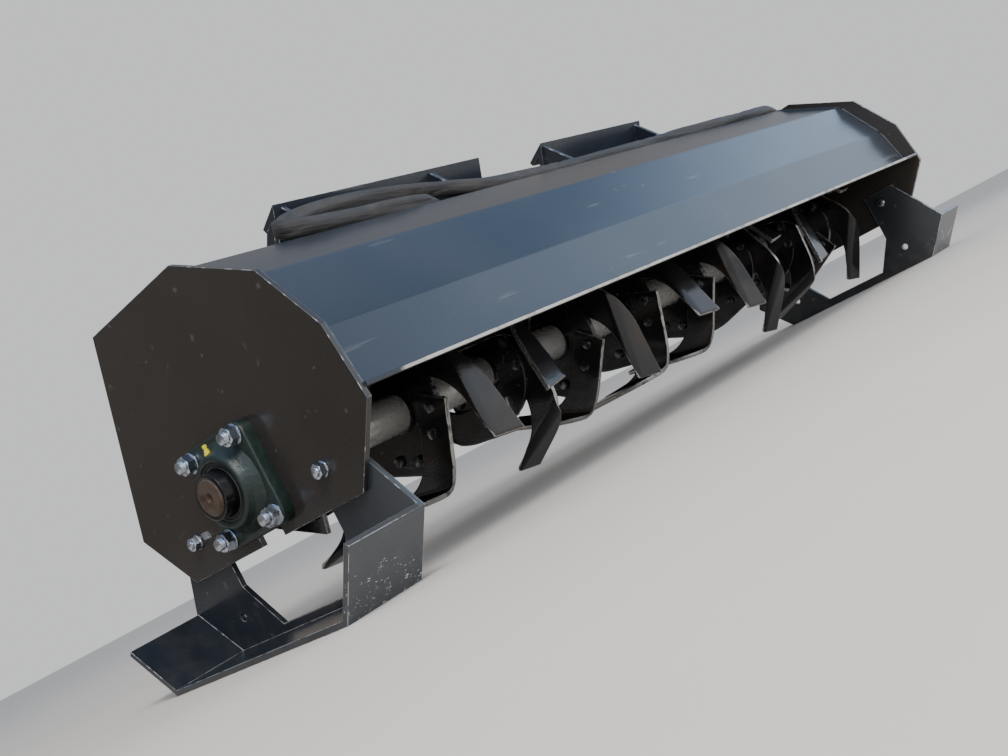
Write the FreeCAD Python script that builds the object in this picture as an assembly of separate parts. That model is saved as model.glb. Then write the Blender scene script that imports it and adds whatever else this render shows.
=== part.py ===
"""Hydraulic rotavator for a compact loader: a hooded rotor with bolted tines between two end plates.

Each sub-part is built about the rotor's axis: X runs along the rotor, Y from the open front to the
loader's side, Z up. They are then moved together so that the origin is on the ground, in the middle.
Lengths are in millimetres, angles in degrees.
"""
import FreeCAD, Part
import math
import os

# End plates, hood and ground height
hood_width = 1843.0
plate_thickness = 8.0
sheet_thickness = 6.0
axis_height = 205.0
plate_bottom_z = -84.0
plate_bottom_front_y = -200.0
plate_bottom_rear_y = 208.0
top_z = 282.0
top_front_y = -67.0
top_rear_y = 160.0
shoulder_y = -210.0
shoulder_z = 205.0
brow_y = -270.0
brow_z = 107.0
chin_y = -282.0
chin_z = 8.0
rear_y = 286.0
rear_z = 4.0
slot_clearance = 2.0

# Hood sheet: how far each bend lies behind the end plates' edge, and the stiffening lip
hood_top_setback = 29.0
hood_shoulder_setback = 36.0
hood_brow_setback = 39.0
hood_chin_setback = 32.0
hood_chin_z = 30.0
hood_lip_drop = 4.0
hood_lip_reach = 1.0
hood_brow_rise = 1.0
hood_seam_y = 60.0

# Mount plate that the loader's carrier holds
mount_width = 1133.0
mount_thickness = 10.0
mount_top_z = 392.0
mount_top_lip = 52.0
mount_top_fold = 42.0
mount_bottom_lip = 62.0
mount_cut_low_x = -35.0
mount_cut_high_x = 170.0
mount_cut_depth = 74.0
lock_slot_inset = 100.5
lock_slot_width = 26.0
lock_slot_length = 65.0
lock_slot_back = 34.0
cheek_thickness = 10.0
cheek_depth = 28.0
cheek_top_drop = 52.0
gusset_thickness = 10.0
gusset_inner_x = 182.0
gusset_end_inset = 21.5
gusset_top_gap = 6.0
gusset_slope = 50.0

# Skid shoes
shoe_thickness = 8.0
shoe_flange = 115.0
shoe_front_y = -268.0
shoe_front_z = -127.0
shoe_runner_front_y = -202.0
shoe_runner_rear_y = 197.0
shoe_rear_y = 263.0
shoe_rear_z = -130.0
shoe_chamfer_front_y = -226.0
shoe_chamfer_rear_y = 224.0
shoe_chamfer_z = -58.0
shoe_top_y = 196.0
shoe_top_z = -10.0
shoe_gap_top_y = 124.0
shoe_gap_low_y = 77.0
shoe_gap_bend_z = -118.0
shoe_rail_height = 19.0
shoe_bolt_y = 156.0
shoe_bolt_z = -36.0
shoe_spare_z = -155.0
shoe_bolt_radius = 6.0
shoe_bolt_head = 4.8
shoe_nut_height = 10.0
shoe_bolt_end = 4.0

# Flange bearing on the left plate
bearing_side = 143.0
bearing_corner = 18.0
bearing_flange = 18.0
bearing_spacing = 111.0
bearing_boss_radius = 49.0
bearing_boss_reach = 38.0
bearing_seat_radius = 40.0
bearing_ring_radius = 31.0
bearing_ring_reach = 54.6
bearing_ring_gap = 1.0
bearing_seal_depth = 3.0
bearing_bolt_radius = 8.0
bolt_clearance = 0.5
bolt_head = 10.0
nut_height = 13.0
washer_thickness = 3.0
stud_end = 9.0
running_clearance = 0.05

# Rotor
shaft_radius = 25.0
shaft_end_reach = 56.0
tube_radius = 30.0
tube_wall = 6.0
tube_end_gap = 14.0
spigot_length = 60.0
flange_thickness = 10.0
flange_radius = 87.0
first_flange_gap = 83.5
last_flange_gap = 159.5

# Tines: a flat strip bolted across the flange, then bent round the rotor, its end folded outwards
tines_per_flange = 4
tine_width = 56.3
tine_thickness = 8.0
tine_offset = 75.2
tine_root = 35.0
tine_straight = 56.1
tine_bend_radius = 115.2
tine_bend_angle = 59.5
tine_tail = 62.9
tine_tip_lead = 18.4
tine_fold_radius = 13.0
tine_fold_angle = 85.4
tine_fold_slope = -19.4
tine_fold_y = -43.6
tine_fold_z = 149.0
tine_fold_steps = 4
tine_angles = [12.0, 108.0, 176.0, 120.0, 100.0, 112.0, 156.0, 4.0, 144.0]  # of each flange's right-hand pair
left_tine_turn = 100.0  # of a flange's left-hand pair past its right-hand pair
tine_bolt_spacing = 40.0
tine_bolt_radius = 5.0
tine_bolt_head = 6.0
tine_nut_height = 8.0
tine_bolt_end = 3.0

# Hydraulic motor on the right plate
motor_flange_side = 150.0
motor_flange_thickness = 16.0
motor_pilot_radius = 41.0
motor_radius = 60.0
motor_length = 56.0
motor_cap_radius = 52.0
motor_cap_length = 24.0
motor_bolt_spacing = 112.0
motor_port_spacing = 48.0
motor_port_x = 38.0
motor_port_top = 84.0
motor_port_radius = 14.0
fitting_height = 24.0
stub_radius = 7.0
stub_gap = 0.6
stub_overrun = 10.0

# Hose sleeve: points chosen along its way from the motor to the couplers, X from the right plate's
# outer face, Y and Z about the rotor's axis
sleeve_radius = 15.0
sleeve_route = [
    (78.5, 6, 160),
    (90.5, 4, 238),
    (36.5, 0, 302),
    (-71.5, -8, 298.5),
    (-269.5, -10, 297.8),
    (-509.5, 8, 298.2),
    (-769.5, 16, 298),
    (-979.5, 17, 297.8),
    (-1115.5, 12, 302),
    (-1219.5, 40, 330),
    (-1329.5, 60, 347),
    (-1434.5, 60, 350),
    (-1519.5, 52, 341),
    (-1579.5, 30, 325),
    (-1601.5, -6, 308),
    (-1569.5, -26, 298.5),
    (-1489.5, -18, 297.6),
    (-1379.5, -12, 297.8),
    (-1304.5, -6, 297.6),
    (-1247.5, 28, 297.7),
    (-1191.5, 76, 297.8),
]
coupler_gap = 1.0
coupler_steps = [(11.0, 8.0), (13.0, 30.0), (12.0, 10.0), (13.0, 12.0)]

# Places worked out from the sizes above
inner_x = hood_width / 2
outer_x = inner_x + plate_thickness
rear_slope = math.hypot(rear_y - top_rear_y, rear_z - top_z)
along_rear = ((top_rear_y - rear_y) / rear_slope, (top_z - rear_z) / rear_slope)
out_of_rear = (along_rear[1], -along_rear[0])
mount_top_y = rear_y + (mount_top_z - rear_z) * along_rear[0] / along_rear[1]
slot_half_width = shaft_radius + slot_clearance
hood_front_y = chin_y - hood_lip_reach
first_flange_x = first_flange_gap - inner_x
flange_pitch = (hood_width - first_flange_gap - last_flange_gap) / (len(tine_angles) - 1)
gusset_outer_x = mount_width / 2 - gusset_end_inset
lock_slot_x = mount_width / 2 - lock_slot_inset
past = 1.0  # how far each cutting tool reaches past a face
parts = {}


def point(x, y, z):
    return FreeCAD.Vector(x, y, z)


def polygon_plate(outline, x, thickness):
    """A flat plate across X, from an outline of (y, z) points."""
    corners = [point(x, y, z) for y, z in outline]
    face = Part.Face(Part.makePolygon(corners + corners[:1]))
    return face.extrude(point(thickness, 0, 0))


def rod(x_start, x_end, radius, y=0.0, z=0.0):
    """A round bar along X."""
    return Part.makeCylinder(radius, x_end - x_start, point(x_start, y, z), point(1, 0, 0))


def hexagon(x, y, z, across_flats, height):
    """A hexagonal prism that starts at x and grows along +X."""
    corner = across_flats / math.sqrt(3)
    turns = [math.radians(60 * k + 30) for k in range(6)]
    outline = [(y + corner * math.cos(a), z + corner * math.sin(a)) for a in turns]
    return polygon_plate(outline, x, height)


def box(low, high):
    return Part.makeBox(*[b - a for a, b in zip(low, high)], point(*low))


def mirror_x(shape):
    return shape.mirror(point(0, 0, 0), point(1, 0, 0))


def fuse(shapes):
    joined = shapes[0].multiFuse(shapes[1:]) if len(shapes) > 1 else shapes[0]
    return joined.removeSplitter()


def parallel_line(line, distance):
    """The open (y, z) line moved sideways by a distance, with mitred corners."""
    moved = []
    for k in range(len(line)):
        steps = []
        for a, b in ((k - 1, k), (k, k + 1)):
            if a >= 0 and b < len(line):
                dy, dz = line[b][0] - line[a][0], line[b][1] - line[a][1]
                length = math.hypot(dy, dz)
                steps.append((-dz / length, dy / length))
        ny = sum(s[0] for s in steps) / len(steps)
        nz = sum(s[1] for s in steps) / len(steps)
        scale = distance / (ny * ny + nz * nz)
        moved.append((line[k][0] + ny * scale, line[k][1] + nz * scale))
    return moved


def bent_sheet(line, thickness, width):
    """A bent sheet centred on X; the sheet lies to the left of the (y, z) line's direction."""
    outline = line + parallel_line(line, thickness)[::-1]
    return polygon_plate(outline, -width / 2, width)


def through_bolt(x_head, x_nut, y, z, radius, head, nut, end):
    """A bolt along X between two faces: its head before x_head, its washer and nut past x_nut."""
    flats = 3.0 * radius
    washer = rod(x_nut, x_nut + washer_thickness, 2.0 * radius, y, z)
    shank = rod(x_head, x_nut + washer_thickness + nut + end, radius, y, z)
    head_block = hexagon(x_head - head, y, z, flats, head)
    nut_block = hexagon(x_nut + washer_thickness, y, z, flats, nut)
    return fuse([shank, washer, head_block, nut_block])


# End plates
plate_outline = [
    (top_front_y, top_z),
    (shoulder_y, shoulder_z),
    (brow_y, brow_z),
    (chin_y, chin_z),
    (plate_bottom_front_y, plate_bottom_z),
    (plate_bottom_rear_y, plate_bottom_z),
    (rear_y, rear_z),
    (top_rear_y, top_z),
]
plate_blank = polygon_plate(plate_outline, -outer_x, plate_thickness)
shaft_slot = fuse([
    rod(-outer_x, -inner_x, slot_half_width),
    box((-outer_x, -slot_half_width, plate_bottom_z - past), (-inner_x, slot_half_width, 0)),
])
bolt_holes = [
    rod(-outer_x - past, -inner_x + past, shoe_bolt_radius + bolt_clearance, side * shoe_bolt_y, shoe_bolt_z)
    for side in (-1, 1)
]
bearing_half = bearing_spacing / 2
bearing_corners = [(y, z) for y in (-bearing_half, bearing_half) for z in (-bearing_half, bearing_half)]
bolt_hole_radius = bearing_bolt_radius + bolt_clearance
bearing_holes = [rod(-outer_x - past, -inner_x + past, bolt_hole_radius, y, z) for y, z in bearing_corners]
motor_half = motor_bolt_spacing / 2
motor_corners = [(y, z) for y in (-motor_half, motor_half) for z in (-motor_half, motor_half)]
motor_holes = [rod(-outer_x - past, -inner_x + past, bolt_hole_radius, y, z) for y, z in motor_corners]
pilot_hole = rod(-outer_x - past, -inner_x + past, motor_pilot_radius + slot_clearance)
parts["end_plate_left"] = plate_blank.cut([shaft_slot] + bolt_holes + bearing_holes)
parts["end_plate_right"] = mirror_x(plate_blank.cut([pilot_hole] + bolt_holes + motor_holes))

# Hood: front sheet with its stiffening lip, and rear sheet under the mount plate
hood_line = [
    (hood_front_y, hood_chin_z - hood_lip_drop - sheet_thickness),
    (chin_y + hood_chin_setback + sheet_thickness, hood_chin_z - sheet_thickness),
    (brow_y + hood_brow_setback + sheet_thickness, brow_z + hood_brow_rise),
    (shoulder_y + hood_shoulder_setback + sheet_thickness / 2, shoulder_z),
    (top_front_y + hood_top_setback, top_z - sheet_thickness),
    (hood_seam_y, top_z - sheet_thickness),
]
parts["hood_front_sheet"] = bent_sheet(hood_line, sheet_thickness, hood_width)
rear_line = [(hood_seam_y, top_z), (top_rear_y, top_z), (rear_y, rear_z)]
parts["hood_rear_sheet"] = bent_sheet(rear_line, -sheet_thickness, hood_width)

# Mount plate with its folded top lip, its bottom lip with two lock slots, and its hose cut-out
fold = math.atan2(along_rear[1], along_rear[0]) + math.pi + math.radians(mount_top_fold)
lip_end = (mount_top_y + mount_top_lip * math.cos(fold), mount_top_z + mount_top_lip * math.sin(fold))
mount_line = [
    (rear_y + mount_bottom_lip, rear_z),
    (rear_y, rear_z),
    (mount_top_y, mount_top_z),
    lip_end,
]
mount = bent_sheet(mount_line, -mount_thickness, mount_width)
inner_face = parallel_line(mount_line, -mount_thickness)
cut_low_z = mount_top_z - mount_cut_depth
cut_out = box(
    (mount_cut_low_x, mount_top_y - 2 * mount_thickness, cut_low_z),
    (mount_cut_high_x, rear_y, mount_top_z + 2 * mount_thickness),
)
slot_y = rear_y + lock_slot_back
slot_round = lock_slot_width / 2
half_slot = lock_slot_length / 2 - slot_round
slot_low_z = rear_z - past
slot_deep = mount_thickness + 2 * past
slots = []
for x in (-lock_slot_x, lock_slot_x):
    low, high = x - half_slot, x + half_slot
    corner = point(low, slot_y - slot_round, slot_low_z)
    slots.append(Part.makeBox(high - low, lock_slot_width, slot_deep, corner))
    for end in (low, high):
        slots.append(Part.makeCylinder(slot_round, slot_deep, point(end, slot_y, slot_low_z)))
parts["mount_plate"] = mount.cut([cut_out] + slots)

# Cheeks that close the mount plate's ends, and gussets from its front face to the hood's top
cheek_low = inner_face[1]
cheek_high = inner_face[2]
cheek_outline = [
    cheek_low,
    cheek_high,
    inner_face[3],
    (
        cheek_high[0] - cheek_top_drop * along_rear[0] + cheek_depth * out_of_rear[0],
        cheek_high[1] - cheek_top_drop * along_rear[1] + cheek_depth * out_of_rear[1],
    ),
    (cheek_low[0] + cheek_depth / out_of_rear[0], cheek_low[1]),
]
cheek = polygon_plate(cheek_outline, -mount_width / 2, cheek_thickness)
parts["mount_cheek_left"] = cheek
parts["mount_cheek_right"] = mirror_x(cheek)
gusset_high_z = mount_top_z - gusset_top_gap
gusset_high_y = rear_y + (gusset_high_z - rear_z) * along_rear[0] / along_rear[1]
gusset_foot_y = gusset_high_y - (gusset_high_z - top_z) / math.tan(math.radians(gusset_slope))
gusset_outline = [(top_rear_y, top_z), (gusset_high_y, gusset_high_z), (gusset_foot_y, top_z)]
gusset_places = [-gusset_outer_x, -gusset_inner_x, gusset_inner_x, gusset_outer_x]
for number, x in enumerate(gusset_places, 1):
    gusset = polygon_plate(gusset_outline, x - gusset_thickness / 2, gusset_thickness)
    parts[f"mount_gusset_{number}"] = gusset

# Skid shoes: a web bolted inside each end plate, with a runner bent out under it
web_outline = [
    (-shoe_top_y, shoe_top_z),
    (shoe_chamfer_front_y, shoe_chamfer_z),
    (shoe_front_y, shoe_front_z),
    (shoe_runner_front_y, -axis_height),
    (shoe_runner_rear_y, -axis_height),
    (shoe_rear_y, shoe_rear_z),
    (shoe_chamfer_rear_y, shoe_chamfer_z),
    (shoe_top_y, shoe_top_z),
    (shoe_gap_top_y, shoe_top_z),
    (shoe_gap_top_y, shoe_gap_bend_z),
    (shoe_gap_low_y, shoe_rail_height - axis_height),
    (-shoe_gap_low_y, shoe_rail_height - axis_height),
    (-shoe_gap_top_y, shoe_gap_bend_z),
    (-shoe_gap_top_y, shoe_top_z),
]
web = polygon_plate(web_outline, -inner_x, shoe_thickness)
runner_line = [
    (shoe_front_y, shoe_front_z),
    (shoe_runner_front_y, -axis_height),
    (shoe_runner_rear_y, -axis_height),
    (shoe_rear_y, shoe_rear_z),
]
runner_outline = runner_line + parallel_line(runner_line, shoe_thickness)[::-1]
runner = polygon_plate(runner_outline, -inner_x - shoe_flange, shoe_flange + shoe_thickness)
spare_holes = [
    rod(-inner_x - past, -inner_x + shoe_thickness + past, shoe_bolt_radius + bolt_clearance, side * y, z)
    for side in (-1, 1)
    for y, z in ((shoe_bolt_y, shoe_bolt_z), (shoe_bolt_y, shoe_spare_z))
]
shoe = fuse([web, runner]).cut(spare_holes)
parts["skid_shoe_left"] = shoe
parts["skid_shoe_right"] = mirror_x(shoe)
shoe_bolts = Part.makeCompound([
    through_bolt(
        inner_x - shoe_thickness, outer_x, side * shoe_bolt_y, shoe_bolt_z,
        shoe_bolt_radius, shoe_bolt_head, shoe_nut_height, shoe_bolt_end,
    )
    for side in (-1, 1)
])
parts["shoe_bolts_left"] = mirror_x(shoe_bolts)
parts["shoe_bolts_right"] = shoe_bolts

# Flange bearing: cast housing, outer ring and seal, bolts and grease nipple
half_side = bearing_side / 2
housing_flange = box(
    (-outer_x - bearing_flange, -half_side, -half_side), (-outer_x, half_side, half_side)
)
upright = [e for e in housing_flange.Edges if abs(e.tangentAt(e.FirstParameter).x) > 0.9]
housing_flange = housing_flange.makeFillet(bearing_corner, upright)
boss = rod(-outer_x - bearing_boss_reach, -outer_x, bearing_boss_radius)
seat = rod(-outer_x - bearing_boss_reach - past, -outer_x + past, bearing_seat_radius)
housing_holes = [
    rod(-outer_x - bearing_flange - past, -outer_x + past, bolt_hole_radius, y, z) for y, z in bearing_corners
]
parts["bearing_housing"] = fuse([housing_flange, boss]).cut([seat] + housing_holes)
outer_ring = rod(bearing_seal_depth - outer_x - bearing_boss_reach, -outer_x, bearing_seat_radius)
ring_bore = rod(-outer_x - bearing_boss_reach, -outer_x + past, bearing_ring_radius + running_clearance)
parts["bearing_outer_ring"] = outer_ring.cut(ring_bore)
bearing_bolts = [
    mirror_x(through_bolt(
        inner_x, outer_x + bearing_flange, y, z, bearing_bolt_radius, bolt_head, nut_height, stud_end,
    ))
    for y, z in bearing_corners
]
parts["bearing_bolts"] = Part.makeCompound(bearing_bolts)
nipple_x = -outer_x - (bearing_flange + bearing_boss_reach) / 2
nipple = fuse([
    Part.makeCylinder(5.0, 6.0, point(nipple_x, 0, bearing_boss_radius - 1.0), point(0, 0, 1)),
    Part.makeCylinder(3.4, 16.0, point(nipple_x, 0, bearing_boss_radius - 1.0), point(0, 0, 1)),
])
nipple = nipple.cut(rod(-outer_x - bearing_boss_reach, -outer_x, bearing_boss_radius))
parts["grease_nipple"] = nipple

# Rotor: tube with stub shafts pressed into its ends
tube_end = inner_x - tube_end_gap
bore = tube_radius - tube_wall
tube = rod(-tube_end, tube_end, tube_radius)
parts["rotor_tube"] = tube.cut(rod(-tube_end - past, tube_end + past, bore))
left_end = -outer_x - shaft_end_reach
left_shaft = fuse([rod(left_end, -tube_end, shaft_radius), rod(-tube_end, -tube_end + spigot_length, bore)])
parts["stub_shaft_left"] = left_shaft
right_end = outer_x + motor_flange_thickness
right_shaft = fuse([rod(tube_end, right_end, shaft_radius), rod(tube_end - spigot_length, tube_end, bore)])
parts["stub_shaft_right"] = right_shaft
ring_start = -outer_x - bearing_ring_reach
inner_ring = rod(ring_start, -outer_x - bearing_ring_gap, bearing_ring_radius)
inner_ring = inner_ring.cut(rod(ring_start - past, -outer_x, shaft_radius))
parts["bearing_inner_ring"] = inner_ring

# One right-hand tine: the strip's outline in the flange's plane, straight, then an arc, then straight
tail_turn = math.radians(tine_bend_angle)
tail_way = point(0, -math.sin(tail_turn), math.cos(tail_turn))


def round_bend(radius, turn):
    """The point at a turn along an arc about the centre of the strip's bend."""
    y = tine_offset - tine_bend_radius + radius * math.cos(turn)
    return point(0, y, tine_straight + radius * math.sin(turn))


outline = []
ends = []
for side, tail in ((-1, tine_tail), (1, tine_tail + tine_tip_lead)):
    radius = tine_bend_radius + side * tine_width / 2
    arc = [round_bend(radius, turn) for turn in (0, tail_turn / 2, tail_turn)]
    root = point(0, arc[0].y, -tine_root)
    tip = arc[2] + tail_way * tail
    ends.append((root, tip))
    outline += [Part.makeLine(root, arc[0]), Part.Arc(*arc).toShape(), Part.makeLine(arc[2], tip)]
for inner, outer in zip(*ends):
    outline.append(Part.makeLine(inner, outer))
strip = Part.Face(Part.Wire(Part.sortEdges(outline)[0]))

# Past the fold line its corner turns out of the plane, away from the flange
fold_slope = math.radians(tine_fold_slope)
fold_turn = math.radians(tine_fold_angle)
fold_length = tine_fold_radius * fold_turn
fold_base = point(0, tine_fold_y, tine_fold_z)
along_fold = point(0, math.cos(fold_slope), math.sin(fold_slope))
past_fold = point(0, -math.sin(fold_slope), math.cos(fold_slope))
outwards = point(1, 0, 0)
fold_reach = 4 * tine_width


def fold_line(distance):
    """The line at a distance past the fold and parallel to it, long enough to cross the strip."""
    middle = fold_base + past_fold * distance
    return middle - along_fold * fold_reach, middle + along_fold * fold_reach


def beyond_fold(distance):
    """The half plane that starts at a distance past the fold."""
    low, high = fold_line(distance)
    far = past_fold * fold_reach
    return Part.Face(Part.makePolygon([low, high, high + far, low + far, low]))


sections = []
for step in range(tine_fold_steps + 1):
    turn = fold_turn * step / tine_fold_steps
    distance = tine_fold_radius * turn
    rise = tine_fold_radius * (1 - math.cos(turn))
    lift = past_fold * (tine_fold_radius * math.sin(turn) - distance) + outwards * rise
    wall = (outwards * math.cos(turn) - past_fold * math.sin(turn)) * tine_thickness
    crossing = strip.common(Part.makeLine(*fold_line(distance)))
    low, high = sorted((vertex.Point + lift for vertex in crossing.Vertexes), key=along_fold.dot)
    sections.append(Part.makePolygon([low, high, high + wall, low + wall, low]))
bend = Part.makeLoft(sections, True, True)
leg = strip.cut(beyond_fold(0)).Faces[0].extrude(outwards * tine_thickness)
foot = strip.common(beyond_fold(fold_length)).Faces[0].extrude(outwards * tine_thickness)
foot.rotate(fold_base + past_fold * fold_length, along_fold, tine_fold_angle)
foot.translate(lift)
tine = fuse([leg, bend, foot])
print("tine solids", len(tine.Solids), "volume", round(tine.Volume), "box", tine.BoundBox)

# Tine flanges, with two tines bolted to each face a half turn apart
bolt_half = tine_bolt_spacing / 2
tine_bolts = []
for number, first_angle in enumerate(tine_angles, 1):
    x = first_flange_x + (number - 1) * flange_pitch
    right_face = x + flange_thickness
    disc = rod(x, right_face, flange_radius).cut(rod(x - past, right_face + past, tube_radius))
    tines = []
    for k in range(tines_per_flange):
        to_right = k % 2 == 0
        angle = first_angle + k // 2 * 180.0 + (0.0 if to_right else left_tine_turn)
        blade = tine.copy() if to_right else mirror_x(tine)
        blade.translate(point(right_face if to_right else x, 0, 0))
        grip_low = x if to_right else x - tine_thickness
        grip_high = right_face + tine_thickness if to_right else right_face
        holes = []
        for z in (-bolt_half, bolt_half):
            hole_radius = tine_bolt_radius + bolt_clearance
            holes.append(rod(grip_low - past, grip_high + past, hole_radius, tine_offset, z))
            bolt = through_bolt(
                grip_low, grip_high, tine_offset, z,
                tine_bolt_radius, tine_bolt_head, tine_nut_height, tine_bolt_end,
            )
            bolt.rotate(point(0, 0, 0), outwards, angle)
            tine_bolts.append(bolt)
        blade = blade.cut(holes)
        for turned in holes + [blade]:
            turned.rotate(point(0, 0, 0), outwards, angle)
        tines.append(blade)
        disc = disc.cut(holes)
    parts[f"tine_flange_{number}"] = disc
    parts[f"tines_{number}"] = Part.makeCompound(tines)
parts["tine_bolts"] = Part.makeCompound(tine_bolts)

# Hydraulic motor: mounting flange, body, end cap, bolts and port fittings
half_flange = motor_flange_side / 2
flange_end = outer_x + motor_flange_thickness
motor_flange = box((outer_x, -half_flange, -half_flange), (flange_end, half_flange, half_flange))
upright = [e for e in motor_flange.Edges if abs(e.tangentAt(e.FirstParameter).x) > 0.9]
motor_flange = motor_flange.makeFillet(bearing_corner, upright)
motor_drill = [rod(outer_x - past, flange_end + past, bolt_hole_radius, y, z) for y, z in motor_corners]
shaft_bore = rod(outer_x - past, flange_end + past, shaft_radius + running_clearance)
parts["motor_flange"] = motor_flange.cut([shaft_bore] + motor_drill)
body_end = flange_end + motor_length
motor_body = rod(flange_end + 0.3, body_end, motor_radius)
port_x = outer_x + motor_port_x
port_places = [-motor_port_spacing / 2, motor_port_spacing / 2]
bosses = [Part.makeCylinder(motor_port_radius, motor_port_top, point(port_x, y, 0)) for y in port_places]
parts["motor_body"] = fuse([motor_body] + bosses)
parts["motor_cap"] = rod(body_end, body_end + motor_cap_length, motor_cap_radius)
motor_bolts = [
    through_bolt(inner_x, flange_end, y, z, bearing_bolt_radius, bolt_head, nut_height, stud_end)
    for y, z in motor_corners
]
parts["motor_bolts"] = Part.makeCompound(motor_bolts)
fittings = [
    Part.makeCylinder(motor_port_radius - 3, fitting_height, point(port_x, y, motor_port_top), point(0, 0, 1))
    for y in port_places
]
parts["port_fittings"] = Part.makeCompound(fittings)
route = [point(outer_x + x, y, z) for x, y, z in sleeve_route]
mouth = route[0]
mouth_way = (route[1] - mouth).normalize()
stubs = []
for y in port_places:
    start = point(port_x, y, motor_port_top + fitting_height)
    end = mouth + point(0, math.copysign(stub_radius + stub_gap / 2, y), 0)
    way = end - start
    whole = way.Length + 2 * stub_overrun
    stub = Part.makeCylinder(stub_radius, whole, start - way.normalize() * stub_overrun, way)
    below = Part.makeCylinder(motor_port_radius, fitting_height, point(port_x, y, motor_port_top))
    beyond = Part.makeCylinder(2 * sleeve_radius, 2 * stub_overrun, mouth, mouth_way)
    stubs.append(stub.cut([below, beyond]))
parts["hose_stubs"] = Part.makeCompound(stubs)


def rounded_path(points):
    """Straight runs joined by tangent arcs, each as large as its two runs allow."""
    edges = []
    radii = []
    start = points[0]
    for before, corner, after in zip(points, points[1:], points[2:]):
        back = before - corner
        ahead = after - corner
        reach = 0.45 * min(back.Length, ahead.Length)
        turn = math.pi - back.getAngle(ahead)
        radii.append(reach / math.tan(turn / 2))
        entry = corner + back.normalize() * reach
        leave = corner + ahead.normalize() * reach
        inward = (entry + leave) * 0.5 - corner
        deep = radii[-1] / math.cos(turn / 2) - radii[-1]
        middle = corner + inward.normalize() * deep
        edges += [Part.LineSegment(start, entry).toShape(), Part.Arc(entry, middle, leave).toShape()]
        start = leave
    edges.append(Part.LineSegment(start, points[-1]).toShape())
    return Part.Wire(edges), radii


# Hose sleeve along the hood's top, and the two couplers at its end
path, radii = rounded_path(route)
print("sleeve length", round(path.Length), "radii", [round(r) for r in radii])
ring = Part.Wire(Part.makeCircle(sleeve_radius, mouth, mouth_way))
sleeve = path.makePipeShell([ring], True, False)
print("sleeve volume ratio", round(sleeve.Volume / (path.Length * math.pi * sleeve_radius ** 2), 4))
parts["hose_sleeve"] = sleeve

# Two couplers side by side at the sleeve's end
end = route[-1]
end_way = (end - route[-2]).normalize()
sideways = end_way.cross(point(0, 0, 1)).normalize()
widest = max(radius for radius, length in coupler_steps)
couplers = []
for side in (-1, 1):
    start = end + sideways * side * (widest + coupler_gap)
    steps = []
    for radius, length in coupler_steps:
        steps.append(Part.makeCylinder(radius, length, start, end_way))
        start = start + end_way * length
    couplers.append(fuse(steps))
parts["hose_couplers"] = Part.makeCompound(couplers)

# The origin goes on the ground in the middle of everything but the sleeve and its couplers
on_hose = ("hose_sleeve", "hose_couplers")
extent = Part.makeCompound([shape for name, shape in parts.items() if name not in on_hose]).BoundBox
to_ground = point(-extent.Center.x, -extent.Center.y, -extent.ZMin)
print("rotor axis at", to_ground)

os.makedirs("parts", exist_ok=True)
for name, shape in parts.items():
    shape.translate(to_ground)
    if not shape.isValid():
        print("not valid:", name)
    shape.exportStep(f"parts/{name}.step")
print(len(parts), "sub-parts")
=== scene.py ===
"""Looks of a rotavator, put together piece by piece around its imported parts. Metres."""
import math

import bmesh
import bpy
import numpy as np
from mathutils import Matrix, Vector


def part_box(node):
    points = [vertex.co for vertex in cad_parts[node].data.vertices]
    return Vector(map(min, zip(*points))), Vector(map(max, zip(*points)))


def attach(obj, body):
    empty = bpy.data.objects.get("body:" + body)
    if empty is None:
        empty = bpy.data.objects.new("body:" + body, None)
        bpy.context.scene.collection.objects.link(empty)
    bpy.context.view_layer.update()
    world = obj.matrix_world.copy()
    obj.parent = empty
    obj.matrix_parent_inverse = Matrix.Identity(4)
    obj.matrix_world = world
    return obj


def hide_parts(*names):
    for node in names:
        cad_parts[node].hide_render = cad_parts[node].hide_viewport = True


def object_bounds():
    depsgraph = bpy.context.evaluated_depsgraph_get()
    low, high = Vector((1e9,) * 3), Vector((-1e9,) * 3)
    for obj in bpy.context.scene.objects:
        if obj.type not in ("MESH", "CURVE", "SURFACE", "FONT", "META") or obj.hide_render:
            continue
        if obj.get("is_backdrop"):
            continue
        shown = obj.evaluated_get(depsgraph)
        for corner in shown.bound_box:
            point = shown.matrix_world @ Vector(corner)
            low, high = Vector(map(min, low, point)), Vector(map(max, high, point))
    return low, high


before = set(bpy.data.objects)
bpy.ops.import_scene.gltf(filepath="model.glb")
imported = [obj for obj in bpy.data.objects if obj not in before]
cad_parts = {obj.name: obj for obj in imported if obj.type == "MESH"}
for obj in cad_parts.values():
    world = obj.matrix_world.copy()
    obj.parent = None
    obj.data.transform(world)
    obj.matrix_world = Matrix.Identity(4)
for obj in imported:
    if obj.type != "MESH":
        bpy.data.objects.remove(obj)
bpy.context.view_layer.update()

# End plates: 8 mm steel, cut to an eight-sided outline, in a satin paint that mirrors what stands near it.
# Its warm near-black, darker than the hood's, is painted shade with a painted warm reflection of the ground.
# Their cut edges are rounded a little and painted lighter: a painted highlight, with patches worn to bare
# steel.
slate = (0.014, 0.018, 0.025)
slate_light = (0.05, 0.058, 0.068)
dust = (0.30, 0.27, 0.23)
bare_steel = (0.50, 0.50, 0.49)
# Painted light: the lighter grey of a front face that the light falls on.
painted_lit_grey = (0.085, 0.092, 0.100)
scratch_white = (0.62, 0.61, 0.58)


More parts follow.
